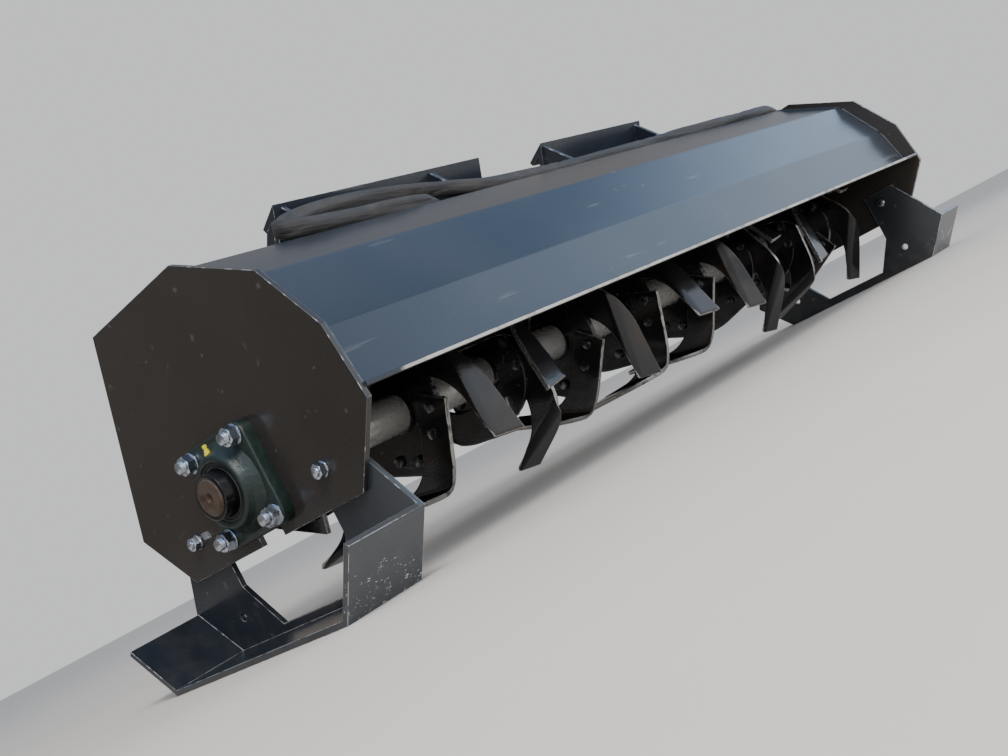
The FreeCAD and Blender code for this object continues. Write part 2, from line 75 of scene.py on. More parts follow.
class Wire:
    """A value in a node tree. Python's operators on it add Math nodes."""

    def __init__(self, finish, socket):
        self.finish = finish
        self.socket = socket

    def math(self, operation, *values):
        """A Math node on values or Wires."""
        return self.finish.node("Math", {"operation": operation}, dict(enumerate(values)))

    def __add__(self, other):
        return self.math("ADD", self, other)

    def __mul__(self, other):
        return self.math("MULTIPLY", self, other)

    __radd__ = __add__
    __rmul__ = __mul__

    def larger(self, other):
        """The larger of two values at each place."""
        return self.math("MAXIMUM", self, other)

    def sine(self):
        return self.math("SINE", self)

    def rise(self, low, high):
        """A smooth step: 0 at low, 1 at high."""
        values = {0: self, 1: low, 2: high, 3: 0.0, 4: 1.0}
        return self.finish.node("MapRange", {"interpolation_type": "SMOOTHSTEP"}, values)


class Finish:
    """The nodes of one material, or of the world. node() adds a node of any type and gives one of its
    outputs as a Wire."""

    def __init__(self, name, kept_in=bpy.data.materials, place="Object"):
        self.owner = kept_in.new(name)
        self.owner.use_nodes = True
        self.tree = self.owner.node_tree
        self.tree.nodes.clear()
        self.place = self.node("TexCoord", output=place)

    def node(self, kind, settings=None, values=None, output=0):
        """A new node: its settings by name, then its sockets by name or number, as values or Wires. A
        ramp's stops are a setting too, as (position, RGB) from the first to the last."""
        made = self.tree.nodes.new("ShaderNode" + kind)
        for key, value in (settings or {}).items():
            if key == "stops":
                elements = made.color_ramp.elements
                for element, (position, colour) in zip(elements, (value[0], value[-1])):
                    element.position, element.color = position, (*colour, 1)
                for position, colour in value[1:-1]:
                    elements.new(position).color = (*colour, 1)
            else:
                setattr(made, key, value)
        for key, value in (values or {}).items():
            if isinstance(value, Wire):
                self.tree.links.new(value.socket, made.inputs[key])
            else:
                made.inputs[key].default_value = value
        return Wire(self, made.outputs[output]) if made.outputs else None

    def noise(self, scale, detail=3.0, stretch=None):
        """Cloudy noise from 0 to 1, or drawn out along the axes."""
        place = self.place
        if stretch:
            place = self.node("Mapping", {}, {"Vector": place, "Scale": stretch})
        return self.node("TexNoise", {}, {"Vector": place, "Scale": scale, "Detail": detail})

    def axis(self, name):
        """One coordinate of the place on the object."""
        return self.node("SeparateXYZ", {}, {"Vector": self.place}, name)

    def blend(self, share, low, high):
        """A colour between two colours, as RGB or as Wires."""
        low, high = (c if isinstance(c, Wire) else (*c, 1.0) for c in (low, high))
        return self.node("Mix", {"data_type": "RGBA"}, {0: share, 6: low, 7: high}, 2)

    def bump(self, height, depth):
        """A normal from a height that runs from 0 to 1 over a depth in metres."""
        return self.node("Bump", {}, {"Height": height, "Distance": depth, "Strength": 1.0})

    def close(self, **values):
        """Ends the tree in a Principled surface, with its sockets named in words joined by underscores."""
        named = {key.replace("_", " "): value for key, value in values.items()}
        shader = self.node("BsdfPrincipled", {}, named)
        self.node("OutputMaterial", {}, {"Surface": shader})
        return self


def paint(name, deep, light, gloss, worn=0.0, grit=0.35, scuffed=0.3, lit_and_scraped_from=None):
    """Sprayed paint: cloudy between two colours, with orange peel, scuffs, dust low down and worn patches.
    Given a y, in front of it the paint turns a lighter grey, painted light for a lit front face, and near the
    ground it is scratched white."""
    finish = Finish(name)
    clouds = finish.noise(2.6, 4.0).rise(0.35, 0.70)
    streaks = finish.noise(9.0, 6.0, (0.5, 5.0, 5.0)).rise(0.66, 0.74)
    scuffs = finish.noise(150.0, 2.0, (1.0, 0.25, 0.25)).rise(0.70, 0.76)
    scuffs = scuffs * finish.noise(5.0, 1.0).rise(0.56, 0.66)
    low_down = finish.axis("Z").rise(0.16, 0.0) * finish.noise(26.0, 5.0).rise(0.40, 0.72)
    film = finish.noise(1.3, 2.0).rise(0.45, 0.80) * 0.14 + low_down * grit
    colour = finish.blend(clouds * 0.25, deep, light)
    colour = finish.blend(streaks * 0.08 + scuffs * scuffed, colour, bare_steel)
    colour = finish.blend(film * 0.35, colour, dust)
    peel = finish.noise(420.0, 1.0) * 0.15 + finish.noise(3.0, 1.0) * 1.6
    rough = clouds * 0.05 + film * 0.35 + scuffs * (scuffed * 0.4) + gloss
    metal = scuffs * (scuffed * 0.6)
    # Points marked in the wear attribute turn bare steel: on the hood sheets' first cut edge this is a
    # painted highlight, and worn paint.
    edge = finish.node("Attribute", {"attribute_name": "wear"}, output=2)
    edge = (edge + finish.noise(40.0, 4.0) * 0.8).rise(1.10, 1.45)
    colour = finish.blend(edge * 0.8, colour, bare_steel)
    if lit_and_scraped_from is not None:
        # Painted light: towards the front the paint turns a lighter grey, as a lit face would look.
        painted_light_mark = finish.axis("Y").rise(lit_and_scraped_from, lit_and_scraped_from - 0.12) * 0.5
        colour = finish.blend(painted_light_mark, colour, painted_lit_grey)
        where = finish.axis("Y").rise(lit_and_scraped_from, lit_and_scraped_from - 0.06) * finish.axis("Z").rise(0.11, 0.03)
        scrapes = finish.noise(520.0, 5.0, (0.4, 1.0, 1.5)) * 0.5 + finish.noise(60.0, 3.0) * 0.3
        scrapes = (scrapes + where * 0.3).rise(0.76, 0.82)
        colour = finish.blend(scrapes, colour, scratch_white)
    if worn:
        patches = finish.noise(55.0, 5.0).rise(0.62 - worn * 0.3, 0.70 - worn * 0.3)
        colour = finish.blend(patches, colour, bare_steel)
        rough = rough + patches * 0.18
        metal = metal.larger(patches * 0.8)
    return finish.close(Base_Color=colour, Roughness=rough, Metallic=metal, Normal=finish.bump(peel, 0.0006))


slate_paint = paint("slate_paint", slate, slate_light, 0.16)
# Painted highlight: the bevelled edges are much lighter than the paint, for the light they catch, with worn
# patches of bare steel.
slate_edge = paint("slate_edge", slate_light, (0.16, 0.17, 0.18), 0.30, worn=0.35)
# Painted shade and a painted warm reflection: the end plates' own paint is the hood's slate, here darker and
# warmer.
plate_paint = paint("plate_paint", (0.021, 0.018, 0.016), (0.040, 0.035, 0.032), 0.14, scuffed=0.0, grit=0.1)


def place_piece(piece, finishes, body, replaced):
    """Gives a finished piece its materials, the body it moves with and the parts that it stands for."""
    piece.data.materials.clear()
    for finish in finishes:
        piece.data.materials.append(finish.owner)
    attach(piece, body)
    if replaced:
        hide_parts(*replaced)
    return piece


wide_face = 0.0008


def dressed(node, finishes, width=0.0012):
    """A copy of a part on the frame: corners merged, flat faces joined, edges bevelled in the last finish.
    Faces over wide_face, in square metres, are shaded flat, and the rest smooth."""
    piece = bpy.data.objects.new(node + "_dressed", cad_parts[node].data.copy())
    bpy.context.scene.collection.objects.link(piece)
    work = bmesh.new()
    work.from_mesh(piece.data)
    bmesh.ops.remove_doubles(work, verts=work.verts, dist=1e-5)
    bmesh.ops.dissolve_limit(work, angle_limit=math.radians(0.5), verts=work.verts, edges=work.edges)
    work.to_mesh(piece.data)
    work.free()
    piece.data.polygons.foreach_set("use_smooth", [face.area < wide_face for face in piece.data.polygons])
    place_piece(piece, finishes, "frame", [node])
    bevel = piece.modifiers.new("edges", "BEVEL")
    bevel.width = width
    bevel.segments = 2
    bevel.limit_method = "ANGLE"
    bevel.angle_limit = math.radians(32)
    bevel.material = len(finishes) - 1
    return piece


for side in ("left", "right"):
    dressed("end_plate_" + side, [plate_paint, slate_edge])

# Hood: two 6 mm sheets between the end plates. The front sheet has a stiffening lip and three pressed
# bends, the rear one falls to the mount plate's foot. Both are bent on a press, so their corners are round.
plate_low, plate_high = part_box("end_plate_left")
tube_low, tube_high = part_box("rotor_tube")
axis_y = (tube_low.y + tube_high.y) / 2
axis_z = (tube_low.z + tube_high.z) / 2
plate_inside = -plate_high.x
plate_outside = -plate_low.x
sheet = 0.006
front_line = [(-0.283, 0.020), (-0.244, 0.024), (-0.225, 0.108), (-0.171, 0.205), (-0.038, 0.276),
              (0.060, 0.276)]
rear_line = [(0.060, 0.276), (0.1561, 0.276), (0.2805, 0.0015)]
bend_radius = 0.007


def rounded_line(corners, radius, steps=7):
    """Points and left-hand normals along a line of straight runs whose corners are arcs of one radius."""
    corners = np.array(corners, float)
    points, normals = [], []
    for k in range(len(corners)):
        ways = [corners[b] - corners[a] for a, b in ((k - 1, k), (k, k + 1)) if a >= 0 and b < len(corners)]
        ways = [way / np.linalg.norm(way) for way in ways]
        lefts = np.array([(-way[1], way[0]) for way in ways])
        if len(ways) == 1:
            points.append(corners[k : k + 1])
            normals.append(lefts)
            continue
        turn = math.atan2(ways[0][0] * ways[1][1] - ways[0][1] * ways[1][0], ways[0] @ ways[1])
        back = radius * math.tan(abs(turn) / 2)
        centre = corners[k] - ways[0] * back + lefts[0] * math.copysign(radius, turn)
        angles = np.linspace(0.0, turn, steps)[:, None]
        around = lefts[0] * np.cos(angles) - ways[0] * np.sin(angles)
        points.append(centre - around * math.copysign(radius, turn))
        normals.append(around)
    return np.concatenate(points), np.concatenate(normals)


def sheet_outline(corners, radius, thickness):
    """The closed outline of a bent sheet that lies to the left of its line, with rounded cut edges."""
    points, normals = rounded_line(corners, radius)
    ease = thickness * 0.18
    inner, outer = points, points + normals * thickness
    ways = [points[0] - points[1], points[-1] - points[-2]]
    ways = [way / np.linalg.norm(way) for way in ways]
    start = [inner[0] + normals[0] * ease, outer[0] - normals[0] * ease]
    end = [outer[-1] - normals[-1] * ease, inner[-1] + normals[-1] * ease]
    inner = np.concatenate([[inner[0] - ways[0] * ease], inner[1:-1], [inner[-1] - ways[1] * ease]])
    outer = np.concatenate([[outer[0] - ways[0] * ease], outer[1:-1], [outer[-1] - ways[1] * ease]])
    return np.concatenate([inner, end[::-1], outer[::-1], start[::-1]])


def grid_faces(rows, columns, closed_rows=False, closed_columns=False):
    """Quads between the neighbours of a grid of points; a closed way joins its last line to its first."""
    a = np.arange(rows if closed_rows else rows - 1)[:, None]
    b = np.arange(columns if closed_columns else columns - 1)[None, :]
    c, d = (a + 1) % rows, (b + 1) % columns
    corners = [a * columns + b, a * columns + d, c * columns + d, c * columns + b]
    return np.stack([np.broadcast_to(k, (a.size, b.size)) for k in corners], -1).reshape(-1, 4)


def joined(surfaces):
    """Several (points, faces) surfaces as one."""
    starts = np.cumsum([0] + [len(points) for points, faces in surfaces])
    points = np.concatenate([points for points, faces in surfaces])
    faces = [face for start, (_, faces) in zip(starts, surfaces) for face in np.asarray(faces) + start]
    return points, faces


def made_piece(name, surfaces, finishes, body="frame", replaced=(), sharp=35.0,
               shades=None):
    """A mesh piece from surfaces: doubles merged, faces turned outwards, smooth but for sharp edges."""
    points, faces = joined(surfaces)
    mesh = bpy.data.meshes.new(name)
    mesh.from_pydata(points.tolist(), [], [list(map(int, face)) for face in faces])
    if shades is not None:
        mesh.attributes.new("wear", "FLOAT", "POINT").data.foreach_set("value", shades)
    work = bmesh.new()
    work.from_mesh(mesh)
    bmesh.ops.remove_doubles(work, verts=work.verts, dist=2e-6)
    bmesh.ops.dissolve_degenerate(work, edges=work.edges, dist=1e-7)
    bmesh.ops.recalc_face_normals(work, faces=work.faces)
    work.to_mesh(mesh)
    work.free()
    mesh.shade_smooth()
    mesh.set_sharp_from_angle(angle=math.radians(sharp))
    piece = bpy.data.objects.new(name, mesh)
    bpy.context.scene.collection.objects.link(piece)
    return place_piece(piece, finishes, body, replaced)


def bent_sheet(name, corners, replaced):
    """A bent sheet across the machine: its (y, z) outline carried along X, with a cap at each end. The two
    corners of its first cut edge are marked in the wear attribute: a painted highlight along that lit edge,
    where the paint is also worn."""
    stations = np.linspace(-plate_inside, plate_inside, 25)
    outline = sheet_outline(corners, bend_radius, sheet) + (axis_y, axis_z)
    count = len(outline)
    grid = np.empty((len(stations), count, 3))
    grid[..., 0] = stations[:, None]
    grid[..., 1:] = outline[None]
    cap = [list(range(count))]
    surfaces = [(grid.reshape(-1, 3), grid_faces(len(stations), count, closed_columns=True)),
                (grid[0], cap), (grid[-1], cap)]
    # Painted highlight: the marked corners turn bare steel in the paint, a bright line for light on the cut
    # edge, with worn paint too.
    painted_light_mark = np.zeros(count)
    painted_light_mark[-2:] = 1.0
    shades = np.concatenate([np.tile(painted_light_mark, len(stations)), np.zeros(2 * count)])
    return made_piece(name, surfaces, [slate_paint], replaced=replaced, shades=shades)


bent_sheet("hood_front", front_line, ["hood_front_sheet"])
bent_sheet("hood_rear", rear_line, ["hood_rear_sheet"])

# Weld beads: where the hood meets the end plates, along the seam on top and round each gusset's foot.
# Each is a small ripple-backed fillet, painted over with the rest.
bead_radius = 0.0032
ripple_pitch = 0.0028


def bead(path, radius=bead_radius):
    """A tube along straight runs, its radius rippled by a sine of the length; returns one surface a run."""
    surfaces = []
    angles = np.linspace(0, 2 * np.pi, 8, endpoint=False)
    for start, end in zip(np.array(path[:-1], float), np.array(path[1:], float)):
        length = np.linalg.norm(end - start)
        way = (end - start) / length
        side = np.cross(way, (0.31, 0.52, 0.79))
        side /= np.linalg.norm(side)
        up = np.cross(way, side)
        s = np.linspace(0, length, max(4, int(length / ripple_pitch * 3)))
        size = radius * (1 + 0.10 * np.sin(2 * np.pi * s / ripple_pitch)) * np.sqrt(np.clip(
            1 - (2 * s / length - 1) ** 16, 0.02, 1))
        ring = np.cos(angles)[:, None] * side + np.sin(angles)[:, None] * up
        points = start + way * s[:, None, None] + ring[None] * size[:, None, None]
        surfaces.append((points.reshape(-1, 3), grid_faces(len(s), 8, closed_columns=True)))
    return surfaces


beads = []
outsides = []
for corners in (front_line[1:], rear_line):
    points, normals = rounded_line(corners, bend_radius)
    outsides.append(points + normals * sheet)
for x in (-plate_inside + 0.001, plate_inside - 0.001):
    for line in outsides:
        beads += bead([(x, y + axis_y, z + axis_z) for y, z in line], 0.0026)
seam = (front_line[-1][0] + axis_y, rear_line[0][1] + sheet + axis_z)
beads += bead([(-plate_inside, *seam), (plate_inside, *seam)], 0.0030)
gusset_count = 4
for number in range(1, gusset_count + 1):
    low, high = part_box(f"mount_gusset_{number}")
    foot = (low.y + 0.002, low.z + 0.0005)
    back = (axis_y + 0.160, low.z + 0.0005)
    for x in (low.x - 0.0005, high.x + 0.0005):
        beads += bead([(x, *foot), (x, *back)])
made_piece("weld_beads", beads, [slate_paint], sharp=80)

# Mount plate: 10 mm plate on the hood's back, folded over at the top so that it can hang from an edge,
# with a cut-out for the hoses and two lock slots in its foot. Cheeks close its ends, gussets brace it.
dressed("mount_plate", [slate_paint, slate_edge], width=0.0015)
for node in ("mount_cheek_left", "mount_cheek_right"):
    dressed(node, [slate_paint, slate_edge])
for number in range(1, gusset_count + 1):
    dressed(f"mount_gusset_{number}", [slate_paint, slate_edge])

# Skid shoes: 8 mm webs bolted inside the end plates, their runners bent outwards. They slide in soil and
# stones, so low down they are scratched to bare metal. Their paint is darker than the hood's, painted shade
# on the runners, and a lighter grey at the front, painted light on the lit front flange.
shoe_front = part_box("skid_shoe_left")[0].y
# Painted shade: the shoes' paint is darker than the hood's slate, with a lighter grey front as painted light.
shoe_paint = paint("shoe_paint", (0.010, 0.013, 0.018), (0.022, 0.027, 0.034), 0.14, grit=0.15, scuffed=0.15,
                   lit_and_scraped_from=shoe_front + 0.12)
# Painted highlight on the shoes' bevelled edges: lighter than the paint, with worn patches of bare steel.
shoe_edge = paint("shoe_edge", slate_light, (0.2, 0.2, 0.2), 0.32, worn=0.6, grit=0.3)
for side in ("left", "right"):
    dressed("skid_shoe_" + side, [shoe_paint, shoe_edge], width=0.0016)

# Bolts: zinc-plated studs with domed ends, washers and chamfered nuts, their threads a cut helix. The
# first four hold the skid shoes to the end plates, with their heads inside.
zinc = Finish("zinc")
spangle = zinc.noise(350.0, 3.0)
tarnish = zinc.noise(60.0, 4.0).rise(0.45, 0.75)
zinc.close(
    Base_Color=zinc.blend(tarnish, (0.50, 0.54, 0.60), (0.20, 0.21, 0.23)),
    Roughness=spangle * 0.16 + tarnish * 0.12 + 0.14,
    Metallic=1.0,
    Normal=zinc.bump(spangle, 0.0002),
)
thread_pitch = 0.0018
thread_depth = 0.0008
washer = 0.003


def turned(profile, y, z, turns=32):
    """A surface of revolution about a line along X: each (x, radius) of the profile swept round."""
    x, r = np.array(profile, float).T
    angles = np.linspace(0, 2 * np.pi, turns, endpoint=False)
    grid = np.stack([
        np.broadcast_to(x[:, None], (len(x), turns)),
        y + r[:, None] * np.cos(angles),
        z + r[:, None] * np.sin(angles),
    ], -1)
    return grid.reshape(-1, 3), grid_faces(len(x), turns, closed_columns=True)


def aimed(surface, start, way):
    """A surface made about the X axis, laid so that X runs from a start point along another way."""
    points, faces = surface
    way = np.array(way, float) / np.linalg.norm(way)
    side = np.cross(way, (0.12, 0.98, 0.15))
    side /= np.linalg.norm(side)
    up = np.cross(side, way)
    return np.array(start) + points[:, :1] * way + points[:, 1:2] * up + points[:, 2:] * side, faces


def hexagon(x_start, x_end, y, z, flats, turn=0.0, columns=24):
    """A nut or head: at each height its radius is the smaller of the hexagon's and a 30 degree cone's."""
    angles = np.linspace(0, 2 * np.pi, columns, endpoint=False)
    side = flats / 2 / np.cos((angles + np.pi / 6) % (np.pi / 3) - np.pi / 6)
    height = abs(x_end - x_start)
    down = height - np.array([height, flats * 0.045, flats * 0.03, flats * 0.015, 0, 0])
    down = np.concatenate([[0.0], down])
    cone = flats * 0.49 + (height - down) * 1.73
    cone[0], cone[-1] = 0.0, 0.0
    radius = np.minimum(side[None], cone[:, None])
    x = x_start + math.copysign(1.0, x_end - x_start) * down
    grid = np.stack([
        np.broadcast_to(x[:, None], radius.shape),
        y + radius * np.cos(angles + turn),
        z + radius * np.sin(angles + turn),
    ], -1)
    return grid.reshape(-1, 3), grid_faces(len(x), columns, closed_columns=True)


def threaded(x_start, x_end, y, z, radius):
    """A stud's threaded end: its radius falls and rises with a triangle wave of length and angle."""
    sign = math.copysign(1.0, x_end - x_start)
    s = np.arange(0.0, abs(x_end - x_start), thread_pitch / 5)
    angles = np.linspace(0, 2 * np.pi, 28, endpoint=False)
    phase = (s[:, None] / thread_pitch + angles / (2 * np.pi)) % 1.0
    grid_radius = radius - thread_depth * (1 - np.abs(2 * phase - 1))
    dome = np.array([[0.0, 0.86], [0.0006, 0.70], [0.0012, 0.35], [0.0013, 0.0]])
    s = np.concatenate([[0.0], s, s[-1] + dome[:, 0]])
    grid_radius = np.concatenate([np.zeros((1, 28)), grid_radius, np.repeat(dome[:, 1:] * radius, 28, 1)])
    grid = np.stack([
        np.broadcast_to(x_start + sign * s[:, None], grid_radius.shape),
        y + grid_radius * np.cos(angles),
        z + grid_radius * np.sin(angles),
    ], -1)
    return grid.reshape(-1, 3), grid_faces(len(s), 28, closed_columns=True)


def bolt(x_head, x_nut, y, z, radius, head, nut, end, turn=0.0):
    """A bolt through from x_head to x_nut: head, shank, washer, nut and threaded end. The four sizes are
    the shank's radius, and the heights of the head, the nut and the thread past it."""
    sign = math.copysign(1.0, x_nut - x_head)
    seat = x_nut + sign * washer
    wide = 1.78 * radius
    rim = [(x_nut, 0), (x_nut, wide * 0.97), (x_nut + sign * 0.0004, wide),
           (seat - sign * 0.0004, wide), (seat, wide * 0.97), (seat, 0)]
    return [
        hexagon(x_head, x_head - sign * head, y, z, 3.0 * radius, turn),
        turned([(x_head, 0), (x_head, radius), (x_nut, radius), (x_nut, 0)], y, z, 16),
        turned(rim, y, z, 28),
        hexagon(seat, seat + sign * nut, y, z, 3.0 * radius, turn + 0.4),
        threaded(seat + sign * nut * 0.8, seat + sign * (nut + end) - sign * 0.0013, y, z, radius),
    ]


shoe_bolt_y = 0.156
shoe_bolt_z = -0.036
shoe_bolt = (0.006, 0.0048, 0.010, 0.004)
for side, sign in (("left", -1), ("right", 1)):
    bolts = []
    for way in (-1, 1):
        bolts += bolt(sign * (plate_inside - 0.008), sign * plate_outside, axis_y + way * shoe_bolt_y,
                      axis_z + shoe_bolt_z, *shoe_bolt, 0.3 * way)
    made_piece("shoe_bolts_made_" + side, bolts, [zinc], replaced=["shoe_bolts_" + side])

# Flange bearing: a cast housing in dark green with a round boss, a ball bearing's rings and a black seal
# in it, on four studs. Its grease nipple stands on the boss under a yellow cap.
green_deep = (0.005, 0.014, 0.010)
cast_green = Finish("cast_green")
sand = cast_green.noise(700.0, 4.0)
lumps = cast_green.noise(90.0, 3.0)
handled = cast_green.noise(40.0, 4.0).rise(0.58, 0.72)
cast_green.close(
    Base_Color=cast_green.blend(handled * 0.4, green_deep, (0.022, 0.036, 0.028)),
    Roughness=lumps * 0.25 + 0.26,
    Normal=cast_green.bump(sand * 0.35 + lumps, 0.0012),
)
housing_low, housing_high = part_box("bearing_housing")
flange_deep = 0.018
flange_corner = 0.018
boss_radius = 0.049
boss_root = 0.010
draft = 0.004
seat_radius = 0.040
rib_middle = 0.036
rib_height = 0.010
four_corners = [(-1, -1), (-1, 1), (1, -1), (1, 1)]
bearing_stud_y = 0.0555
stud_bolt = (0.008, 0.010, 0.013, 0.009)


def rounded_square(half, corner, turns=64):
    """The outline of a square with round corners, as points at even angles round its middle."""
    a = np.linspace(0, 2 * np.pi, turns, endpoint=False)
    c, s = np.abs(np.cos(a)), np.abs(np.sin(a))
    flat = half / np.maximum(c, s)
    inner = half - corner
    along = inner * (c + s)
    arc = along + np.sqrt(np.maximum(along**2 - 2 * inner**2 + corner**2, 0))
    return a, np.where(np.minimum(c, s) * flat > inner, arc, flat)


def flange_plate(x_start, x_end, half, corner, bore, edge=0.003):
    """A square flange: its outline at each depth, drawn in at the edges, then its faces in to the bore."""
    a, r = rounded_square(half, corner)
    sign = math.copysign(1.0, x_end - x_start)
    turns = np.linspace(0, np.pi / 2, 4)
    depths = [x_start, x_start]
    insets = [None, 0.0005]
    depths += list(x_end - sign * edge * (1 - np.sin(turns)))
    insets += list(edge * (1 - np.cos(turns)))
    depths += [x_end]
    insets += [None]
    rows = [np.full_like(r, bore) if inset is None else r - inset for inset in insets]
    grid = np.stack([np.stack([np.full_like(a, x), axis_y + row * np.cos(a), axis_z + row * np.sin(a)], -1)
                     for x, row in zip(depths, rows)])
    return grid.reshape(-1, 3), grid_faces(len(rows), len(a), closed_rows=True, closed_columns=True)


face = -plate_outside
boss_end = housing_low.x
fillet = np.linspace(0, np.pi / 2, 6)
boss = [(face - 0.001, seat_radius), (face - 0.001, boss_radius + 0.012)]
boss += [(face - flange_deep - boss_root * math.sin(t), boss_radius + draft + boss_root * (1 - math.sin(t)))
         for t in fillet]
boss += [(boss_end + 0.003, boss_radius + 0.0005), (boss_end + 0.001, boss_radius - 0.0010),
         (boss_end, boss_radius - 0.0028), (boss_end, seat_radius + 0.0015), (boss_end + 0.0015, seat_radius),
         (face - 0.001, seat_radius)]
half_side = (housing_high.y - housing_low.y) / 2
ribs = []
for way_y, way_z in four_corners:
    middle = np.array([axis_y + way_y * rib_middle, axis_z + way_z * rib_middle])
    out = np.array([way_y, way_z]) / math.sqrt(2)
    across = np.array([-out[1], out[0]])
    s = np.linspace(-1, 1, 9)[:, None]
    t = np.linspace(-1, 1, 9)[None, :]
    height = rib_height * np.clip(1 - t**2, 0, 1) ** 0.5 * (1 - s) / 2
    yz = middle + out * (s[..., None] * 0.014) + across * (t[..., None] * (0.010 + 0.003 * s[..., None]))
    x = face - flange_deep + 0.001 - height
    ribs.append((np.concatenate([x[..., None], yz], -1).reshape(-1, 3), grid_faces(9, 9)))
made_piece("bearing_housing_cast",
           [flange_plate(face, face - flange_deep, half_side, flange_corner, seat_radius + 0.004),
            turned(boss, axis_y, axis_z, 72), *ribs],
           [cast_green], replaced=["bearing_housing"], sharp=50)

ring_steel = Finish("ring_steel")
oil = ring_steel.noise(30.0, 4.0).rise(0.40, 0.70)
ring_steel.close(
    Base_Color=ring_steel.blend(oil, (0.06, 0.058, 0.055), (0.022, 0.020, 0.020)),
    Roughness=oil * 0.14 + 0.17,
    Metallic=0.9,
)
seal_black = Finish("seal_black")
seal_black.close(Base_Color=(0.012, 0.012, 0.012, 1), Roughness=0.42)
seal_face = boss_end + 0.0035
ring_radius = 0.031
rim = [(face - 0.002, ring_radius + 0.0006), (seal_face + 0.001, ring_radius + 0.0006),
       (seal_face, ring_radius + 0.001), (seal_face + 0.0010, ring_radius + 0.0022),
       (seal_face, ring_radius + 0.0036), (seal_face, seat_radius - 0.004),
       (seal_face - 0.0012, seat_radius - 0.0032), (seal_face - 0.0012, seat_radius - 0.0004),
       (seal_face, seat_radius + 0.0001), (face - 0.002, seat_radius + 0.0001),
       (face - 0.002, ring_radius + 0.0006)]
made_piece("bearing_outer_ring_made", [turned(rim, axis_y, axis_z, 72)], [seal_black],
           replaced=["bearing_outer_ring"], sharp=50)
ring_low, ring_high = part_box("bearing_inner_ring")
shaft_radius = 0.025
collar = [(ring_high.x, shaft_radius), (ring_high.x, ring_radius), (ring_low.x + 0.0012, ring_radius),
          (ring_low.x + 0.0004, ring_radius - 0.0004), (ring_low.x, ring_radius - 0.0014),
          (ring_low.x, shaft_radius + 0.0008), (ring_low.x + 0.0008, shaft_radius),
          (ring_high.x, shaft_radius)]
made_piece("bearing_inner_ring_made", [turned(collar, axis_y, axis_z, 72)], [ring_steel], body="rotor",
           replaced=["bearing_inner_ring"], sharp=50)

studs = []
for k, (way_y, way_z) in enumerate(four_corners):
    studs += bolt(-plate_inside, face - flange_deep, axis_y + way_y * bearing_stud_y,
                  axis_z + way_z * bearing_stud_y, *stud_bolt, 0.7 * k)
made_piece("bearing_bolts_made", studs, [zinc], replaced=["bearing_bolts"])

nipple_yellow = Finish("nipple_cap")
nipple_yellow.close(
    Base_Color=nipple_yellow.blend(nipple_yellow.noise(300.0, 2.0).rise(0.5, 0.7) * 0.5, (0.72, 0.62, 0.03),
                                   (0.45, 0.36, 0.04)),
    Roughness=0.34,
)
nipple_low, nipple_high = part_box("grease_nipple")
nipple_x = (nipple_low.x + nipple_high.x) / 2
steps = [(0.0478, 0.0), (0.0478, 0.005), (0.054, 0.005), (0.0545, 0.0036), (0.0575, 0.0036), (0.0582, 0.0024),
         (0.0595, 0.0024), (0.0605, 0.0033), (0.0635, 0.0033), (0.0646, 0.0018), (0.0648, 0.0)]
made_piece("grease_nipple_made", [aimed(turned(steps, 0.0, 0.0, 24), (nipple_x, axis_y, axis_z), (0, 0, 1))],
           [nipple_yellow], replaced=["grease_nipple"], sharp=45)

# Rotor: a steel tube, ground bright by the soil, with a stub shaft pressed into each end. The left shaft
# ends in the bearing, chamfered and centre-drilled, brown with rust.
tube_steel = Finish("tube_steel")
smears = tube_steel.noise(5.0, 5.0, (0.4, 3.0, 3.0))
specks = tube_steel.noise(120.0, 3.0).rise(0.52, 0.68)
tube_grey = tube_steel.blend(smears, (0.44, 0.44, 0.43), (0.32, 0.32, 0.31))
tube_steel.close(
    Base_Color=tube_steel.blend(specks * 0.5, tube_grey, (0.20, 0.17, 0.14)),
    Roughness=smears * 0.08 + specks * 0.15 + 0.20,
    Metallic=0.45,
    Normal=tube_steel.bump(smears + specks * 0.4, 0.0004),
)
tube_radius = (tube_high.z - tube_low.z) / 2
tube_wall = 0.006
tube_end = tube_high.x
tube_bore = tube_radius - tube_wall
tube_profile = [(-tube_end, tube_bore), (-tube_end, tube_radius - 0.001), (0.001 - tube_end, tube_radius)]
tube_profile += [(x, tube_radius) for x in np.linspace(-tube_end * 0.95, tube_end * 0.95, 13)]
tube_profile += [(tube_end - 0.001, tube_radius), (tube_end, tube_radius - 0.001), (tube_end, tube_bore),
                 (-tube_end, tube_bore)]
made_piece("rotor_tube_turned", [turned(tube_profile, axis_y, axis_z, 64)], [tube_steel], body="rotor",
           replaced=["rotor_tube"])

shaft_rust = Finish("shaft_rust")
blooms = shaft_rust.noise(45.0, 5.0).rise(0.38, 0.66)
shaft_rust.close(
    Base_Color=shaft_rust.blend(blooms, (0.115, 0.088, 0.070), (0.060, 0.032, 0.020)),
    Roughness=blooms * 0.35 + 0.28,
    Metallic=0.55,
    Normal=shaft_rust.bump(shaft_rust.noise(260.0, 4.0), 0.0005),
)
left_low, left_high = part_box("stub_shaft_left")
right_low, right_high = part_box("stub_shaft_right")
x = left_low.x
shaft = [(x + 0.010, 0.0), (x + 0.004, 0.0036), (x + 0.004, 0.0040), (x, 0.0070), (x, shaft_radius - 0.0022),
         (x + 0.0018, shaft_radius), (-tube_end, shaft_radius), (-tube_end, tube_bore),
         (left_high.x, tube_bore), (left_high.x, 0.0)]
made_piece("stub_shaft_left_turned", [turned(shaft, axis_y, axis_z, 64)], [shaft_rust], body="rotor",
           replaced=["stub_shaft_left"])
